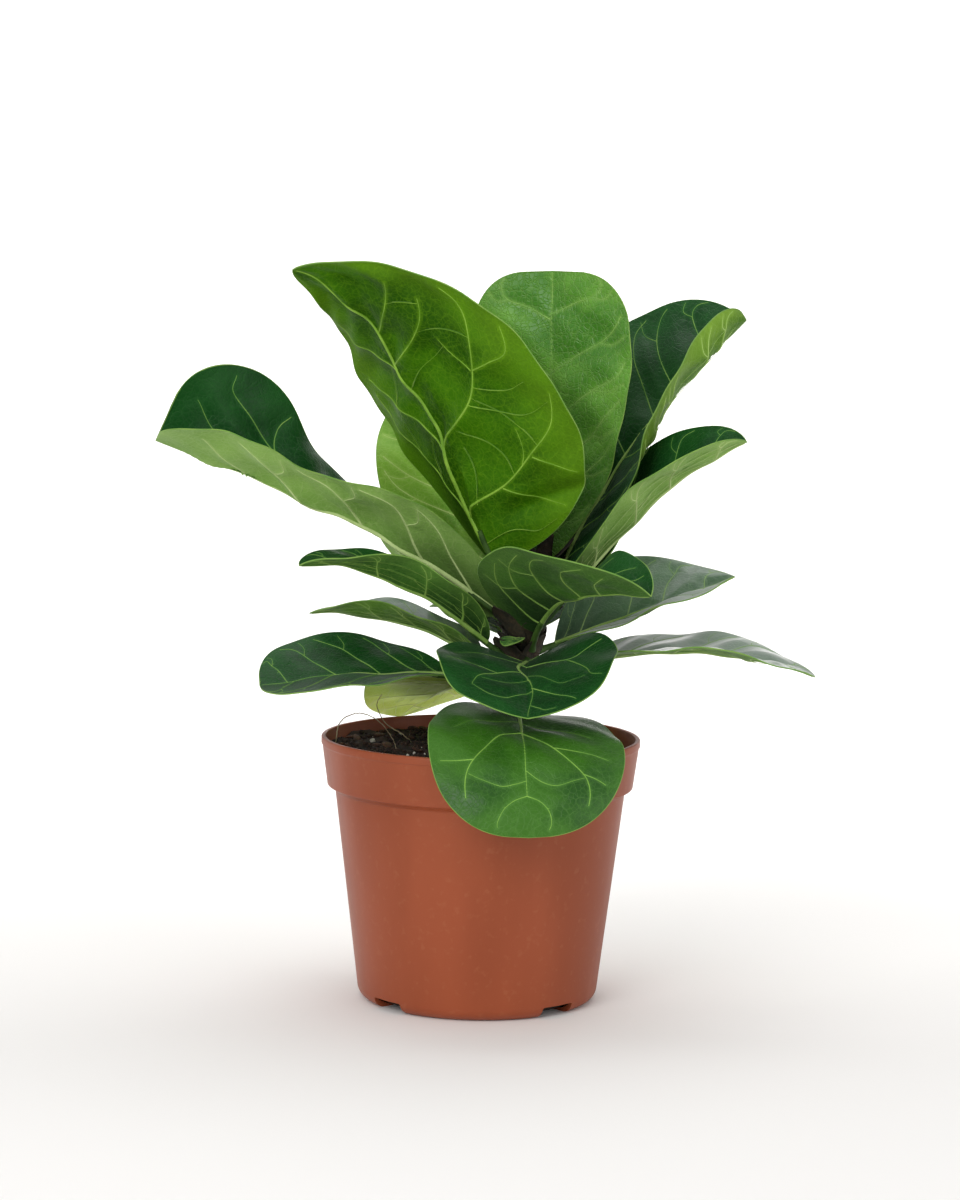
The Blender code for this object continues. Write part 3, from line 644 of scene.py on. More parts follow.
def vein_lines(leaf, ribs, veins, under):
    """Vein rods on one face of a leaf, bold and fine: raised ribs below, fine pale lines above."""
    bold, fine = [], []
    size = 0.6 + 0.4 * min(1.0, leaf.length / 120)
    foot, tip = MIDRIB_RADII if under else MIDRIB_RADII_ABOVE
    side_radius = SIDE_VEIN_RADIUS if under else SIDE_VEIN_RADIUS_ABOVE
    for strength, path in veins:
        t = np.linspace(0, 1, len(path))
        if strength == 0:
            radii = foot - (foot - tip) * (t**0.8 if under else t)
            sunk = 0.15 if under else 0.62
        elif under:
            radii = np.clip(strength * side_radius * (1 - 0.68 * t), 0.07, None)
            sunk = 0.3
        else:
            radii = np.clip(strength * side_radius * (1 - 0.5 * t), 0.08, None)
            sunk = 0.2
        radii = radii * size
        height = BLADE_THICKNESS / 2 - sunk * radii
        line = on_blade(leaf, ribs, path, -height if under else height), radii
        (bold if strength == 0 or strength > BOLD_VEIN else fine).append(line)
    return bold, fine


def margin_line(leaf, ribs):
    """The leaf's pale thickened edge, as a rod round its outline, closer points at its ends."""
    middle = np.linspace(0.06, 0.93, 120)
    s = np.concatenate([np.linspace(0.0, 0.06, 10)[:-1], middle, np.linspace(0.93, 1.0, 16)[1:]])
    ends = []
    for side in (1.0, -1.0):
        edge = np.column_stack([s, np.full(len(s), side)])
        ends.append(on_blade(leaf, ribs, edge, np.zeros(len(s))))
    around = np.concatenate([ends[0], ends[1][::-1][1:]])
    return around, np.full(len(around), MARGIN_RADIUS)


def petiole_line(leaf, ribs):
    """The stalk from the stem into the underside of the midrib."""
    t = np.linspace(0, 1, 26)
    s = np.linspace(-leaf.petiole / leaf.length, 0.1, len(t))
    point, normal = blade_point(leaf, ribs, s, np.zeros(len(t)))
    radii = PETIOLE_RADIUS * (1.25 - 0.35 * np.clip(t * 4, 0, 1) - 0.15 * t)
    radii = np.where(t > 0.92, radii * 0.85, radii)
    return point - normal * (0.5 * t * radii)[:, None], radii


def joined(name, meshes, materials):
    """Meshes in mm as one object in metres."""
    work = bmesh.new()
    for mesh in meshes:
        work.from_mesh(mesh)
        bpy.data.meshes.remove(mesh)
    bmesh.ops.scale(work, vec=(MM, MM, MM), verts=work.verts)
    whole = bpy.data.meshes.new(name)
    work.to_mesh(whole)
    work.free()
    whole.shade_smooth()
    whole.set_sharp_from_angle(angle=math.radians(50))
    made = bpy.data.objects.new(name, whole)
    COLLECTION.objects.link(made)
    for surface in materials:
        whole.materials.append(surface)
    return made


def make_leaf(leaf, tones):
    """One whole leaf as one piece: blade, veins on both faces, margin and stalk."""
    rng = random.Random(leaf.name)
    ribs = midrib(leaf)
    veins = leaf_veins(leaf, rng)
    meshes = [blade(leaf, ribs, veins)]
    for under, kind in ((False, UPPER_VEIN), (True, UNDER_VEIN)):
        bold, fine = vein_lines(leaf, ribs, veins, under)
        meshes.append(tubes(bold, 2, kind))
        if fine:
            meshes.append(tubes(fine, 0, kind))
    meshes.append(tubes([margin_line(leaf, ribs)], 1, MARGIN))
    meshes.append(tubes([petiole_line(leaf, ribs)], 4, STALK))
    upper, under = TONES.get(leaf.name, TONES["usual"])
    surfaces = [None] * 6
    surfaces[UPPER], surfaces[UPPER_VEIN] = tones[upper]
    surfaces[UNDER], surfaces[UNDER_VEIN] = tones[under]
    surfaces[MARGIN], surfaces[STALK] = tones["margin"], tones["stalk"]
    made = joined("fig_" + leaf.name, meshes, surfaces)
    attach(made, "root")
    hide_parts(leaf.name)


# ---- materials ----
SMOOTH = {"interpolation_type": "SMOOTHSTEP"}
# Colour of the painted shade that darkens each leaf blade towards its foot, inside the plant.
PAINTED_SHADE_COLOUR = "#0d260b"


def linear(code):
    """Linear colour with alpha from an sRGB hex code."""
    parts = [int(code[k : k + 2], 16) / 255 for k in (1, 3, 5)]
    return [c / 12.92 if c <= 0.04045 else ((c + 0.055) / 1.055) ** 2.4 for c in parts] + [1.0]


def every(size):
    """Pattern scale, on Object coordinates in metres, whose features are this many mm apart."""
    return 1 / (size * MM)


def add(tree, kind, links=None, **settings):
    """A node with its settings, and its inputs set to values or linked to sockets."""
    made = tree.nodes.new(kind)
    for key, value in settings.items():
        setattr(made, key, value)
    for socket, value in (links or {}).items():
        if isinstance(value, bpy.types.NodeSocket):
            tree.links.new(value, made.inputs[socket])
        else:
            made.inputs[socket].default_value = value
    return made


def new_material(name):
    """A material, its nodes and its shader."""
    made = bpy.data.materials.new(name)
    made.use_nodes = True
    return made, made.node_tree, made.node_tree.nodes["Principled BSDF"]


def leaf_tissue(
    name, body, shade, net, roughness=0.42, specular=0.2,
    coat=0.0, sheen=0.03, painted_margin_light=0.1, relief=0.5, painted_foot_shade=0.5,
):
    """Leaf blade: green tissue under a waxy cuticle, which gives the eye soft, broad highlights.

    body and shade are the tissue's two greens, in patches 31 mm across, and net is the tone of its
    finest veins. The margin setting is painted light: how much lighter the blade gets towards its thin
    margin, as if light came through it. The foot setting is painted shade: how much darker the blade
    gets near its foot, where it sits inside the plant. relief is how deep the net is pressed in, and
    below 0 how far it stands proud.
    """
    made, tree, shader = new_material(name)
    place = add(tree, "ShaderNodeTexCoord").outputs["Object"]
    vein_mm = add(tree, "ShaderNodeAttribute", attribute_name="vein_mm").outputs["Fac"]
    edge = add(tree, "ShaderNodeAttribute", attribute_name="edge").outputs["Fac"]
    foot = add(tree, "ShaderNodeAttribute", attribute_name="foot").outputs["Fac"]
    # Patches, and a fine mottle.
    patch = {"Vector": place, "Scale": every(31.25), "Detail": 3.0}
    patch = add(tree, "ShaderNodeTexNoise", patch).outputs[0]
    patches = add(tree, "ShaderNodeMapRange", {0: patch, 1: 0.38, 2: 0.62}, **SMOOTH).outputs[0]
    speck = {"Vector": place, "Scale": every(2.381), "Detail": 2.0}
    speck = add(tree, "ShaderNodeTexNoise", speck).outputs[0]
    specks = add(tree, "ShaderNodeMapRange", {0: speck, 1: 0.42, 2: 0.72, 4: 0.08}, **SMOOTH).outputs[0]
    # The net of finest veins: meshes 2.3 mm apart within meshes 5.9 mm apart, bent by a slow wobble.
    wobble = add(tree, "ShaderNodeTexNoise", {"Vector": place, "Scale": every(3.846), "Detail": 1.0})
    shift = {0: wobble.outputs["Color"], 1: (1.6 * MM,) * 3, 2: place}
    bent = add(tree, "ShaderNodeVectorMath", shift, operation="MULTIPLY_ADD").outputs[0]
    small = {"Vector": bent, "Scale": every(2.3256)}
    small = add(tree, "ShaderNodeTexVoronoi", small, feature="DISTANCE_TO_EDGE").outputs["Distance"]
    small = add(tree, "ShaderNodeMapRange", {0: small, 2: 0.12, 3: 0.16, 4: 0.0}, **SMOOTH).outputs[0]
    large = {"Vector": bent, "Scale": every(5.882)}
    large = add(tree, "ShaderNodeTexVoronoi", large, feature="DISTANCE_TO_EDGE").outputs["Distance"]
    large = add(tree, "ShaderNodeMapRange", {0: large, 2: 0.05, 3: 0.16, 4: 0.0}, **SMOOTH).outputs[0]
    lines = add(tree, "ShaderNodeMath", {0: small, 1: large}, operation="ADD").outputs[0]
    # Paler beside a vein; painted light makes the blade lighter at its thin margin, and painted shade makes
    # it darker at its foot.
    beside = {0: vein_mm, 1: 0.1, 2: 1.7, 3: 0.38, 4: 0.0}
    beside = add(tree, "ShaderNodeMapRange", beside, **SMOOTH).outputs[0]
    margin = add(tree, "ShaderNodeMapRange", {0: edge, 1: 0.45, 2: 1.0, 4: painted_margin_light}, **SMOOTH).outputs[0]
    base = add(tree, "ShaderNodeMapRange", {0: foot, 1: 0.45, 2: 0.95, 4: painted_foot_shade}, **SMOOTH).outputs[0]
    colour = linear(body)
    layers = [(patches, shade), (specks, net), (lines, net), (beside, net), (margin, net)]
    for share, code in [*layers, (base, PAINTED_SHADE_COLOUR)]:
        mixed = add(tree, "ShaderNodeMix", {0: share, 6: colour, 7: linear(code)}, data_type="RGBA")
        colour = mixed.outputs[2]
    tree.links.new(colour, shader.inputs["Base Color"])
    wax = {0: patch, 1: 0.3, 2: 0.7, 3: roughness - 0.05, 4: roughness + 0.07}
    wax = add(tree, "ShaderNodeMapRange", wax, **SMOOTH).outputs[0]
    tree.links.new(wax, shader.inputs["Roughness"])
    pores = {"Vector": place, "Scale": every(0.66667), "Detail": 2.0}
    pores = add(tree, "ShaderNodeTexNoise", pores).outputs[0]
    pressed = add(tree, "ShaderNodeMath", {0: lines, 1: -relief * 5}, operation="MULTIPLY").outputs[0]
    height = {0: pores, 1: 0.12, 2: pressed}
    height = add(tree, "ShaderNodeMath", height, operation="MULTIPLY_ADD").outputs[0]
    bump = add(tree, "ShaderNodeBump", {"Height": height, "Strength": 0.5, "Distance": 0.3 * MM})
    tree.links.new(bump.outputs[0], shader.inputs["Normal"])
    shader.inputs["IOR"].default_value = 1.45
    shader.inputs["Specular IOR Level"].default_value = specular
    shader.inputs["Coat Weight"].default_value = coat
    shader.inputs["Coat Roughness"].default_value = 0.3
    shader.inputs["Sheen Weight"].default_value = sheen
    shader.inputs["Sheen Roughness"].default_value = 0.5
    return made


def vein_tissue(name, bright, dull, roughness=0.5):
    """Vein and stalk tissue: smooth and firm, in two tones that shift over 8 mm or so."""
    made, tree, shader = new_material(name)
    place = add(tree, "ShaderNodeTexCoord").outputs["Object"]
    shift = {"Vector": place, "Scale": every(8.333), "Detail": 3.0}
    shift = add(tree, "ShaderNodeTexNoise", shift).outputs[0]
    share = add(tree, "ShaderNodeMapRange", {0: shift, 1: 0.35, 2: 0.65}, **SMOOTH).outputs[0]
    mixed = {0: share, 6: linear(bright), 7: linear(dull)}
    colour = add(tree, "ShaderNodeMix", mixed, data_type="RGBA").outputs[2]
    tree.links.new(colour, shader.inputs["Base Color"])
    shader.inputs["Roughness"].default_value = roughness
    shader.inputs["IOR"].default_value = 1.45
    shader.inputs["Specular IOR Level"].default_value = 0.25
    return made


def leaf_tones():
    """Each tone as its blade and its vein material, and the margin's and the stalk's materials."""
    return {
        # Mature upper face: deep green and glossy, its veins thin pale lines.
        "deep": (
            leaf_tissue("mature_leaf_face", "#0b3812", "#124816", "#2a6428", 0.38, 0.2, relief=0.6),
            vein_tissue("mature_leaf_face_vein", "#7fa64e", "#62903f"),
        ),
        # Younger upper face: a clearer green, with strong painted shade towards its foot, where the leaf
        # above shades it.
        "fresh": (
            leaf_tissue(
                "fresh_leaf_face", "#1b490b", "#346611", "#558736", 0.4, 0.3, relief=0.6, painted_foot_shade=0.75
            ),
            vein_tissue("fresh_leaf_face_vein", "#84b24a", "#6f9f40"),
        ),
        # New upper face, still puckered: its net is pressed in deep and catches the light.
        "spring": (
            leaf_tissue("spring_leaf_face", "#447f24", "#68a236", "#8cb856", 0.36, 0.35, relief=1.6),
            vein_tissue("spring_leaf_face_vein", "#8db85c", "#76a850"),
        ),
        # Thin upper face that light comes through: yellow-green.
        "bright": (
            leaf_tissue("bright_leaf_face", "#6d9a2c", "#5b8c24", "#9dbd5e", 0.42, 0.25),
            vein_tissue("bright_leaf_face_vein", "#b4cc7c", "#a3be66"),
        ),
        # Pale low leaf: lime yellow, which is painted light coming through the thin leaf; its veins hardly
        # paler.
        "lime": (
            leaf_tissue("young_leaf_face", "#b4d04e", "#a4c444", "#c4da7c", 0.42, 0.2),
            vein_tissue("young_leaf_face_vein", "#c0d488", "#b2c878"),
        ),
        # Upper face with a thick bloom of wax: grey-green, and silvery where light grazes it.
        "grey": (
            leaf_tissue(
                "waxy_leaf_face", "#2c5232", "#3c6340", "#5e7f56", 0.34, 0.5, coat=0.8, sheen=0.5
            ),
            vein_tissue("waxy_leaf_face_vein", "#8aa56c", "#7c9a62"),
        ),
        # Usual underside: matt olive with its net standing proud.
        "olive": (
            leaf_tissue("leaf_back_olive", "#55802c", "#447020", "#7fa04c", 0.6, 0.2, relief=-0.6),
            vein_tissue("leaf_back_olive_vein", "#9bb86a", "#86a856"),
        ),
        # Underside of the small middle leaves: matt and dark with painted shade from the leaves over them,
        # lighter only at its margin with painted light.
        "shaded_under": (
            leaf_tissue(
                "leaf_back_dark", "#36601a", "#254a12", "#5c8236", 0.6, 0.12,
                painted_margin_light=0.35, relief=-0.6, painted_foot_shade=0.8,
            ),
            vein_tissue("leaf_back_dark_vein", "#7f9f4c", "#6d903f"),
        ),
        # Pale felted underside with broad cream-green veins, darkened strongly towards its foot by painted
        # shade.
        "pale_under": (
            leaf_tissue(
                "leaf_back_pale", "#7da24e", "#6d9440", "#a0bd70", 0.6, 0.12, relief=-0.6, painted_foot_shade=0.75
            ),
            vein_tissue("leaf_back_pale_vein", "#b4c886", "#a2ba74"),
        ),
        # Thin underside that light comes through, brightest at its margin.
        "bright_under": (
            leaf_tissue(
                "leaf_back_bright", "#5c8416", "#416c0c", "#8bb046", 0.55, 0.12, painted_margin_light=0.4, relief=-0.6
            ),
            vein_tissue("leaf_back_bright_vein", "#a4c46c", "#93b55a"),
        ),
        # Underside of the tall front leaf: saturated green, lit through, even down to its foot.
        "lit_under": (
            leaf_tissue(
                "leaf_back_lit", "#376902", "#234d01", "#70a01c", 0.55, 0.08,
                sheen=0.0, painted_margin_light=0.4, relief=-0.7, painted_foot_shade=0.1,
            ),
            vein_tissue("leaf_back_lit_vein", "#86b03c", "#6a972a"),
        ),
        # Underside of the lime leaf: its lime yellow is painted light coming through it too.
        "lime_under": (
            leaf_tissue("young_leaf_back", "#b4d04e", "#a6c448", "#c4da7c", 0.5, 0.15, relief=-0.4),
            vein_tissue("young_leaf_back_vein", "#bccf80", "#afc474"),
        ),
        "margin": vein_tissue("leaf_edge", "#7d9f4a", "#66903e"),
        "stalk": vein_tissue("leaf_stalk", "#3f5c25", "#2c461b"),
    }


def moulded_plastic():
    """Terracotta-brown polypropylene, injection moulded: satin, with faint upright flow marks and dust."""
    made, tree, shader = new_material("moulded_polypropylene")
    place = add(tree, "ShaderNodeTexCoord").outputs["Object"]
    tall = add(tree, "ShaderNodeMapping", {"Vector": place, "Scale": (1.0, 1.0, 0.25)}).outputs[0]
    flow = {"Vector": tall, "Scale": every(33.333), "Detail": 4.0}
    flow = add(tree, "ShaderNodeTexNoise", flow).outputs[0]
    marks = add(tree, "ShaderNodeMapRange", {0: flow, 1: 0.3, 2: 0.7}, **SMOOTH).outputs[0]
    dust = {"Vector": place, "Scale": every(3.3333), "Detail": 5.0}
    dust = add(tree, "ShaderNodeTexNoise", dust).outputs[0]
    specks = add(tree, "ShaderNodeMapRange", {0: dust, 1: 0.55, 2: 0.75, 4: 0.18}, **SMOOTH).outputs[0]
    flowed = {0: marks, 6: linear("#96492a"), 7: linear("#8b4224")}
    flowed = add(tree, "ShaderNodeMix", flowed, data_type="RGBA").outputs[2]
    dusted = {0: specks, 6: flowed, 7: linear("#ab6a48")}
    dusted = add(tree, "ShaderNodeMix", dusted, data_type="RGBA").outputs[2]
    tree.links.new(dusted, shader.inputs["Base Color"])
    satin = add(tree, "ShaderNodeMapRange", {0: flow, 1: 0.3, 2: 0.7, 3: 0.38, 4: 0.5}, **SMOOTH).outputs[0]
    tree.links.new(satin, shader.inputs["Roughness"])
    # The mould's spark-eroded grain, drawn at 0.56 mm, coarser than the real one, so that it shows.
    grain = {"Vector": place, "Scale": every(0.55556), "Detail": 2.0}
    grain = add(tree, "ShaderNodeTexNoise", grain).outputs[0]
    bump = add(tree, "ShaderNodeBump", {"Height": grain, "Strength": 0.12, "Distance": 0.2 * MM})
    tree.links.new(bump.outputs[0], shader.inputs["Normal"])
    shader.inputs["IOR"].default_value = 1.49
    shader.inputs["Specular IOR Level"].default_value = 0.3
    return made


def earth(name, dark, light, roughness=0.95):
    """Peat, bark and dry fibre: matt and broken into grains 3.85 mm apart, darker in their hollows."""
    made, tree, shader = new_material(name)
    place = add(tree, "ShaderNodeTexCoord").outputs["Object"]
    grains = {"Vector": place, "Scale": every(3.846), "Detail": 6.0, "Roughness": 0.7}
    grain = add(tree, "ShaderNodeTexNoise", grains).outputs[0]
    share = add(tree, "ShaderNodeMapRange", {0: grain, 1: 0.35, 2: 0.7}, **SMOOTH).outputs[0]
    mixed = {0: share, 6: linear(dark), 7: linear(light)}
    colour = add(tree, "ShaderNodeMix", mixed, data_type="RGBA").outputs[2]
    tree.links.new(colour, shader.inputs["Base Color"])
    bump = add(tree, "ShaderNodeBump", {"Height": grain, "Strength": 0.8, "Distance": 0.8 * MM})
    tree.links.new(bump.outputs[0], shader.inputs["Normal"])
    shader.inputs["Roughness"].default_value = roughness
    return made


# ---- pot ----
def arc(centre_radius, centre_height, radius, start, end, count=6):
    """(radius, height) points of a round stretch, angles in degrees from outwards."""
    turns = np.radians(np.linspace(start, end, count))
    return [(centre_radius + radius * math.cos(a), centre_height + radius * math.sin(a)) for a in turns]


def turned(profile, turns):
    """Closed mesh turned about the Z axis, from (radius, height) points from axis to axis."""
    work = bmesh.new()
    points = [work.verts.new((radius, 0.0, height)) for radius, height in profile]
    edges = [work.edges.new(pair) for pair in zip(points, points[1:])]
    whole_turn = {"cent": (0, 0, 0), "axis": (0, 0, 1), "angle": math.tau, "use_merge": True}
    bmesh.ops.spin(work, geom=points + edges, steps=turns, **whole_turn)
    bmesh.ops.remove_doubles(work, verts=work.verts, dist=0.0001)
    bmesh.ops.recalc_face_normals(work, faces=work.faces)
    return work


def as_object(work, name):
    """A finished bmesh as an object that isn't in the scene yet."""
    mesh = bpy.data.meshes.new(name)
    work.to_mesh(mesh)
    work.free()
    return bpy.data.objects.new(name, mesh)


def channel(heading, inner_end, width, low, high):
    """Block from inner_end out past the wall, along a heading from the pot's axis, rounded on top."""
    work = bmesh.new()
    made = bmesh.ops.create_cube(work, size=1.0)
    long = RIM_RADIUS - inner_end
    bmesh.ops.scale(work, vec=(long, width, high - low), verts=made["verts"])
    bmesh.ops.translate(work, vec=(inner_end + long / 2, 0, (low + high) / 2), verts=made["verts"])
    turn = Matrix.Rotation(math.radians(heading), 3, "Z")
    bmesh.ops.rotate(work, cent=(0, 0, 0), matrix=turn, verts=made["verts"])
    upper = [edge for edge in work.edges if min(vert.co.z for vert in edge.verts) > high - 0.1]
    rounding = {"affect": "EDGES", "offset_type": "OFFSET", "segments": 3, "profile": 0.5, "material": -1}
    bmesh.ops.bevel(work, geom=upper, offset=POCKET_ROUND, **rounding)
    return as_object(work, "channel")


def cut(target, cutter):
    """The cutter, once the target has a Boolean that takes it away."""
    COLLECTION.objects.link(cutter)
    modifier = target.modifiers.new("cut", "BOOLEAN")
    modifier.operation = "DIFFERENCE"
    modifier.solver = "EXACT"
    modifier.object = cutter
    return cutter


def make_pot(surface):
    """The pot's wall, from under its foot up over the rim and down inside, with its foot notches."""
    collar = POT_HEIGHT - COLLAR_HEIGHT
    wall_radii = np.linspace(BODY_FOOT_RADIUS, BODY_TOP_RADIUS - 0.12, WALL_ROWS + 1)[1:]
    wall_heights = np.linspace(FOOT_ROUND, collar - SHOULDER_HEIGHT - 1.2, WALL_ROWS + 1)[1:]
    outer = [
        (0, 0),
        (BODY_FOOT_RADIUS - FOOT_ROUND, 0),
        *arc(BODY_FOOT_RADIUS - FOOT_ROUND, FOOT_ROUND, FOOT_ROUND, -84, -4, 12),
        *zip(wall_radii, wall_heights),
        *arc(BODY_TOP_RADIUS + 0.9, collar - SHOULDER_HEIGHT - 0.2, 1.0, 180, 110, 5),
        (COLLAR_FOOT_RADIUS - 1.6, collar - 1.0),
        *arc(COLLAR_FOOT_RADIUS - 0.9, collar + 0.2, 0.9, -60, 0, 5),
        (COLLAR_FOOT_RADIUS + 0.5, collar + 4),
        (RIM_RADIUS - 0.55, POT_HEIGHT - 4.2),
        *arc(RIM_RADIUS - 0.6, POT_HEIGHT - 2.9, 0.6, -60, 0, 4),
        *arc(RIM_RADIUS - 0.7, POT_HEIGHT - 0.7, 0.7, 10, 90, 6),
    ]
    inner = [
        *arc(RIM_RADIUS - POT_WALL - 0.1, POT_HEIGHT - 0.5, 0.5, 90, 180, 5),
        (COLLAR_FOOT_RADIUS - POT_WALL, collar + 1.2),
        (BODY_TOP_RADIUS - POT_WALL, collar - SHOULDER_HEIGHT + 0.8),
        (BODY_FOOT_RADIUS - POT_WALL + 0.3, POT_WALL + 7.0),
        (BODY_FOOT_RADIUS - POT_WALL - 1.4, POT_WALL + 2.0),
        (BODY_FOOT_RADIUS - FOOT_ROUND - 1.0, POT_WALL),
        (0, POT_WALL),
    ]
    shell = as_object(turned(outer + inner, POT_STEPS), "pot_shell")
    cutters = []
    for heading in POCKET_HEADINGS:
        cutter = channel(heading, POCKET_INNER_END, POCKET_WIDTH, -POCKET_HEIGHT, POCKET_HEIGHT)
        cutters.append(cut(shell, cutter))
    pot = joined("moulded_pot", [settled(shell)], [surface])
    for cutter in cutters:
        bpy.data.objects.remove(cutter, do_unlink=True)
    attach(pot, "root")
    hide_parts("pot")


# ---- soil ----
def soil_height(x, y):
    """Height of the soil's surface: banked towards one side, with low lumps."""
    lumps = math.sin(x * 0.21 + 1.3) * math.cos(y * 0.17 - 0.4) + 0.6 * math.sin(x * 0.09 - y * 0.31)
    edge = min(1.0, math.hypot(x, y) / (0.55 * RIM_RADIUS))
    clods = noise.fractal(Vector((x, y, 0)) * 0.16, 0.8, 2.1, 4)
    tilted = SOIL_TOP + SOIL_TILT[0] * x + SOIL_TILT[1] * y
    return tilted + SOIL_LUMPS * lumps * edge + SOIL_CLODS * clods


def make_soil(surface):
    """The root ball, which fills the pot, with the lumpy surface that shows."""
    wall = RIM_RADIUS - POT_WALL - 1.6
    floor = [(0, POT_WALL + FIT_GAP), (BODY_FOOT_RADIUS - FOOT_ROUND - 1.5, POT_WALL + FIT_GAP)]
    low_side = (BODY_FOOT_RADIUS - POT_WALL - 2.0, 8.0)
    high_side = (BODY_TOP_RADIUS - POT_WALL - 0.4, POT_HEIGHT - COLLAR_HEIGHT - 5)
    top = [(radius, SOIL_TOP) for radius in np.arange(wall, 0.4, -SOIL_GRID)]
    profile = [*floor, low_side, high_side, (wall, SOIL_TOP - 6), *top, (0, SOIL_TOP)]
    work = turned(profile, SOIL_STEPS)
    for vert in work.verts:
        if vert.co.z > SOIL_TOP - 0.1:
            vert.co.z = soil_height(vert.co.x, vert.co.y)
    mesh = bpy.data.meshes.new("soil")
    work.to_mesh(mesh)
    work.free()
    soil = joined("potting_soil_top", [mesh], [surface])
    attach(soil, "root")
    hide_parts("soil")


def scattered(count, rng, reach):
    """Places over the soil, kept off the stem."""
    found = []
    while len(found) < count:
        radius = reach * math.sqrt(rng.random())
        turn = rng.uniform(0, math.tau)
        x, y = radius * math.cos(turn), radius * math.sin(turn)
        if math.hypot(x - STEM_FOOT[0], y - STEM_FOOT[1]) > STEM_RADIUS + 1.5:
            found.append((x, y))
    return found


def make_crumbs(name, count, sizes, flat, detail, surface, seed):
    """Loose bits of the potting mix, each a broken lump resting in the surface."""
    rng = random.Random(seed)
    work = bmesh.new()
    for x, y in scattered(count, rng, RIM_RADIUS - 4.5):
        size = rng.uniform(*sizes)
        long, wide, tall = rng.uniform(0.7, 1.5), rng.uniform(0.6, 1.0), flat * rng.uniform(0.8, 1.2)
        stretch = Matrix.Diagonal((long, wide, tall, 1))
        tilt = Matrix.Rotation(rng.uniform(-0.5, 0.5), 4, "X")
        tilt = tilt @ Matrix.Rotation(rng.uniform(-0.5, 0.5), 4, "Y")
        turn = Matrix.Rotation(rng.uniform(0, math.tau), 4, "Z")
        rest = Matrix.Translation((x, y, soil_height(x, y) + size * flat * 0.25))
        lump = bmesh.ops.create_icosphere(work, subdivisions=detail, radius=size / 2)["verts"]
        for vert in lump:
            vert.co *= 1 + 0.35 * noise.noise(vert.co * (2.2 / size) + Vector((x, y, seed)))
        bmesh.ops.transform(work, matrix=rest @ turn @ tilt @ stretch, verts=lump)
    mesh = bpy.data.meshes.new(name)
    work.to_mesh(mesh)
    work.free()
    made = joined(name, [mesh], [surface])
    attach(made, "root")


# ---- stem ----
def make_stem(surface):
    """Woody stem, swollen at each leaf's node. Its bark is brown, darkened to near black as painted shade
    for the shaded middle of the plant.
    """
    heights = np.linspace(-STEM_BURIED, STEM_LENGTH, 260)
    points = np.array([stem_point(height) for height in heights])
    radii = stem_radius(heights)
    for leaf in LEAVES:
        radii = radii + NODE_SWELLING * np.exp(-(((heights - leaf.node + 1) / 1.3) ** 2))
    radii = radii * np.clip((STEM_LENGTH - heights) / 2.5, 0.05, 1) ** 0.5
    mesh = tubes([(points, radii)], 12, 0)
    flat = coordinates(mesh)
    for index, point in enumerate(flat):
        out = Vector(point - stem_point(point[2] - SOIL_TOP))
        out.z = 0
        rough = noise.fractal(Vector((point[0] * 0.9, point[1] * 0.9, point[2] * 0.35)), 0.9, 2.0, 3)
        flat[index] += np.array(out.normalized()) * BARK_ROUGHNESS * rough
    mesh.vertices.foreach_set("co", flat.ravel())
    stem = joined("woody_stem", [mesh], [surface])
    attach(stem, "root")
    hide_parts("stem")


def make_stipules(surface):
    """Dry brown sheaths left on the stem at each leaf's foot, a pair to a leaf. Their near-black tone is
    partly painted shade, for the shaded middle of the plant.
    """
    meshes = []
    pairs = [(leaf, side) for leaf in LEAVES for side in (-1, 1)]
    for number, (leaf, side) in enumerate(pairs):
        rng = random.Random(number)
        work = bmesh.new()
        bmesh.ops.create_grid(work, x_segments=8, y_segments=14, size=1.0)
        long, wide = rng.uniform(*SHEATH_LENGTHS), rng.uniform(*SHEATH_HALF_WIDTHS)
        height = leaf.node + rng.uniform(0, 3)
        foot = stem_point(height)
        radius = stem_radius(height) + 0.3
        heading = math.radians(leaf.heading + side * rng.uniform(10, 45))
        spread = rng.uniform(*SHEATH_SPREADS)
        for vert in work.verts:
            across, t = vert.co.x, (vert.co.y + 1) / 2
            turn = heading + across * wide * (1 - t**1.6) ** 0.8 / radius
            away = radius + 0.3 + spread * t**2 + 0.5 * math.sin(9 * t + across * 2 + number)
            vert.co = foot + np.array([math.cos(turn) * away, math.sin(turn) * away, t * long])
        bmesh.ops.recalc_face_normals(work, faces=work.faces)
        bmesh.ops.solidify(work, geom=work.faces[:], thickness=SHEATH_THICKNESS)
        mesh = bpy.data.meshes.new("stipule")
        work.to_mesh(mesh)
        work.free()
        meshes.append(mesh)
    made = joined("dry_stipules", meshes, [surface])
    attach(made, "root")


# ---- root fibres ----
FIBRE_RADIUS = 0.3
FIBRES = {
    "root_fibre_long": ((6, 4, 0), (8, 2, 9), (16, -4, 15), (25, -5, 13), (31, -2, 6), (33, 0, 0)),
    "root_fibre_short": ((40, 12, 0), (35, 10, 5), (28, 8, 10), (24, 7, 18), (26, 6, 23)),
}


def make_fibres(surface):
    """Dry strands standing on the soil: (distance in from the rim at -X, y, height) waypoints."""
    for name, waypoints in FIBRES.items():
        placed = []
        for inset, y, rise in waypoints:
            x = inset - RIM_RADIUS
            placed.append((x, y, soil_height(x, y) + rise))
        path = smooth_path(placed, 0.8)
        rng = random.Random(name)
        path += np.array([[rng.uniform(-0.12, 0.12) for _ in range(3)] for _ in path])
        radii = FIBRE_RADIUS * np.linspace(1, 0.55, len(path))
        made = joined(name.replace("root", "dry_root"), [tubes([(path, radii)], 1, 0)], [surface])
        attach(made, "root")
        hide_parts(name)


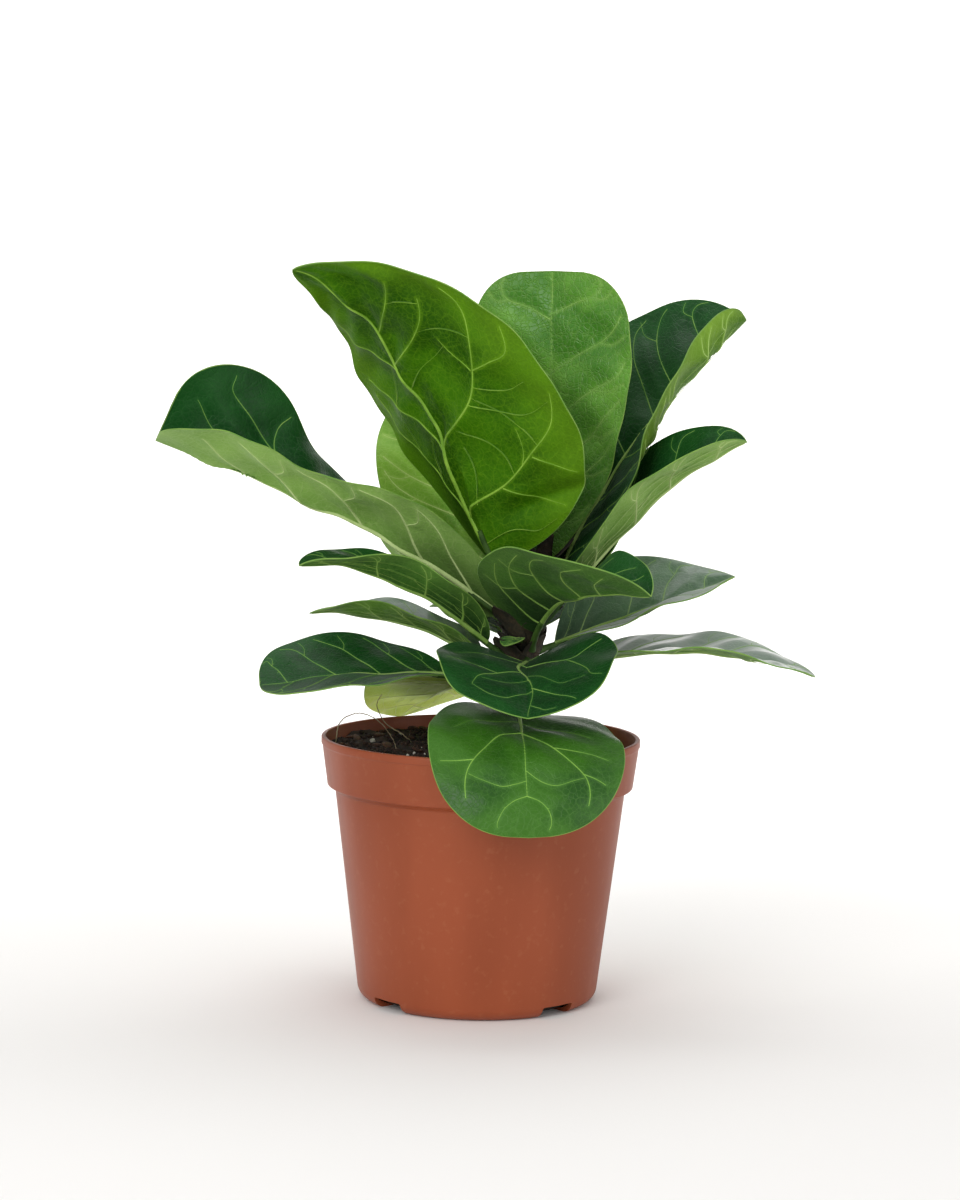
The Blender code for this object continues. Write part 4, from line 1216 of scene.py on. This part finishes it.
# ---- stage ----
def make_stage():
    """Pale paper sweep, in metres: level from in front of the pot, then curved up behind it."""
    work = bmesh.new()
    bmesh.ops.create_grid(work, x_segments=2, y_segments=60, size=1.0)
    front, back, bend, length = 2.4, 1.6, 1.2, 5.6
    for vert in work.verts:
        run = (vert.co.y + 1) / 2 * length - front
        turn = min(max(run - back, 0) / bend, math.pi / 2)
        up = max(run - back - bend * math.pi / 2, 0)
        y = min(run, back) + bend * math.sin(turn)
        vert.co = (vert.co.x * 5, y, bend * (1 - math.cos(turn)) + up)
    floor = as_object(work, "studio_floor")
    floor.data.shade_smooth()
    COLLECTION.objects.link(floor)
    made, _, shader = new_material("matt_studio_paper")
    shader.inputs["Base Color"].default_value = linear("#f4f2f0")
    shader.inputs["Roughness"].default_value = 0.9
    floor.data.materials.append(made)


def area_light(name, place, aim, size, power, colour="#ffffff"):
    """A square soft lamp at a place, turned to its aim, in metres and watts."""
    lamp = bpy.data.lights.new(name, "AREA")
    lamp.energy = power
    lamp.size = size
    lamp.color = linear(colour)[:3]
    made = bpy.data.objects.new(name, lamp)
    COLLECTION.objects.link(made)
    made.location = place
    made.rotation_euler = (Vector(aim) - Vector(place)).to_track_quat("-Z", "Y").to_euler()


def make_lights():
    """Bright even room light, a soft key from the front left, a fill, a top light and a wash of light
    on the paper behind.
    """
    world = bpy.data.worlds.new("studio")
    bpy.context.scene.world = world
    world.use_nodes = True
    shade = world.node_tree.nodes["Background"]
    shade.inputs["Color"].default_value = linear("#ffffff")
    shade.inputs["Strength"].default_value = 0.6
    area_light("key", (-0.7, -1.5, 0.95), (0, 0, 0.2), 0.9, 15)
    area_light("fill", (1.3, -1.2, 0.45), (0, 0, 0.2), 1.0, 6)
    area_light("top", (0.1, 0.3, 1.6), (0, 0, 0.2), 1.0, 6)
    area_light("backdrop", (0, 0.9, 1.9), (0, 2.8, 0.9), 1.6, 60)


def make_camera():
    """A long lens in front of the plant, as high as its top and looking slightly down, in metres."""
    lens = bpy.data.cameras.new("camera")
    lens.lens = 94.4
    lens.sensor_width = 36.0
    camera = bpy.data.objects.new("camera", lens)
    COLLECTION.objects.link(camera)
    place = Vector((-0.0013, -1.3699, 0.316))
    aim = Vector((-0.0013, 0.0, 0.176))
    turn = (aim - place).to_track_quat("-Z", "Y").to_matrix().to_4x4()
    lean = Matrix.Rotation(math.radians(0.9), 4, "Z")
    camera.matrix_world = Matrix.Translation(place) @ turn @ lean
    bpy.context.scene.camera = camera
    bpy.context.scene.view_settings.view_transform = "Standard"


make_camera()
make_lights()
make_stage()
TISSUES = leaf_tones()
for grown in LEAVES:
    make_leaf(grown, TISSUES)
make_pot(moulded_plastic())
make_soil(earth("peat", "#120b07", "#3a2619"))
make_crumbs("peat_crumbs", 1500, (1.0, 2.8), 0.8, 1, earth("peat_crumb", "#160d08", "#40291b"), 5)
make_crumbs("bark_chips", 90, (3.0, 6.5), 0.4, 2, earth("bark_chip", "#2a170c", "#5d3b24", 0.85), 6)
make_crumbs("perlite_grains", 40, (0.9, 2.0), 0.9, 2, earth("perlite", "#9a948a", "#cfcac0", 0.8), 7)
# Bark and sheath tones are darkened as painted shade for the plant's shaded middle.
make_stem(earth("fig_bark", "#1c140c", "#3d2d1b", 0.85))
make_stipules(earth("dry_sheath", "#1b1c10", "#3a2f1c", 0.8))
make_fibres(earth("dry_root", "#8b7a5e", "#b8a988", 0.8))
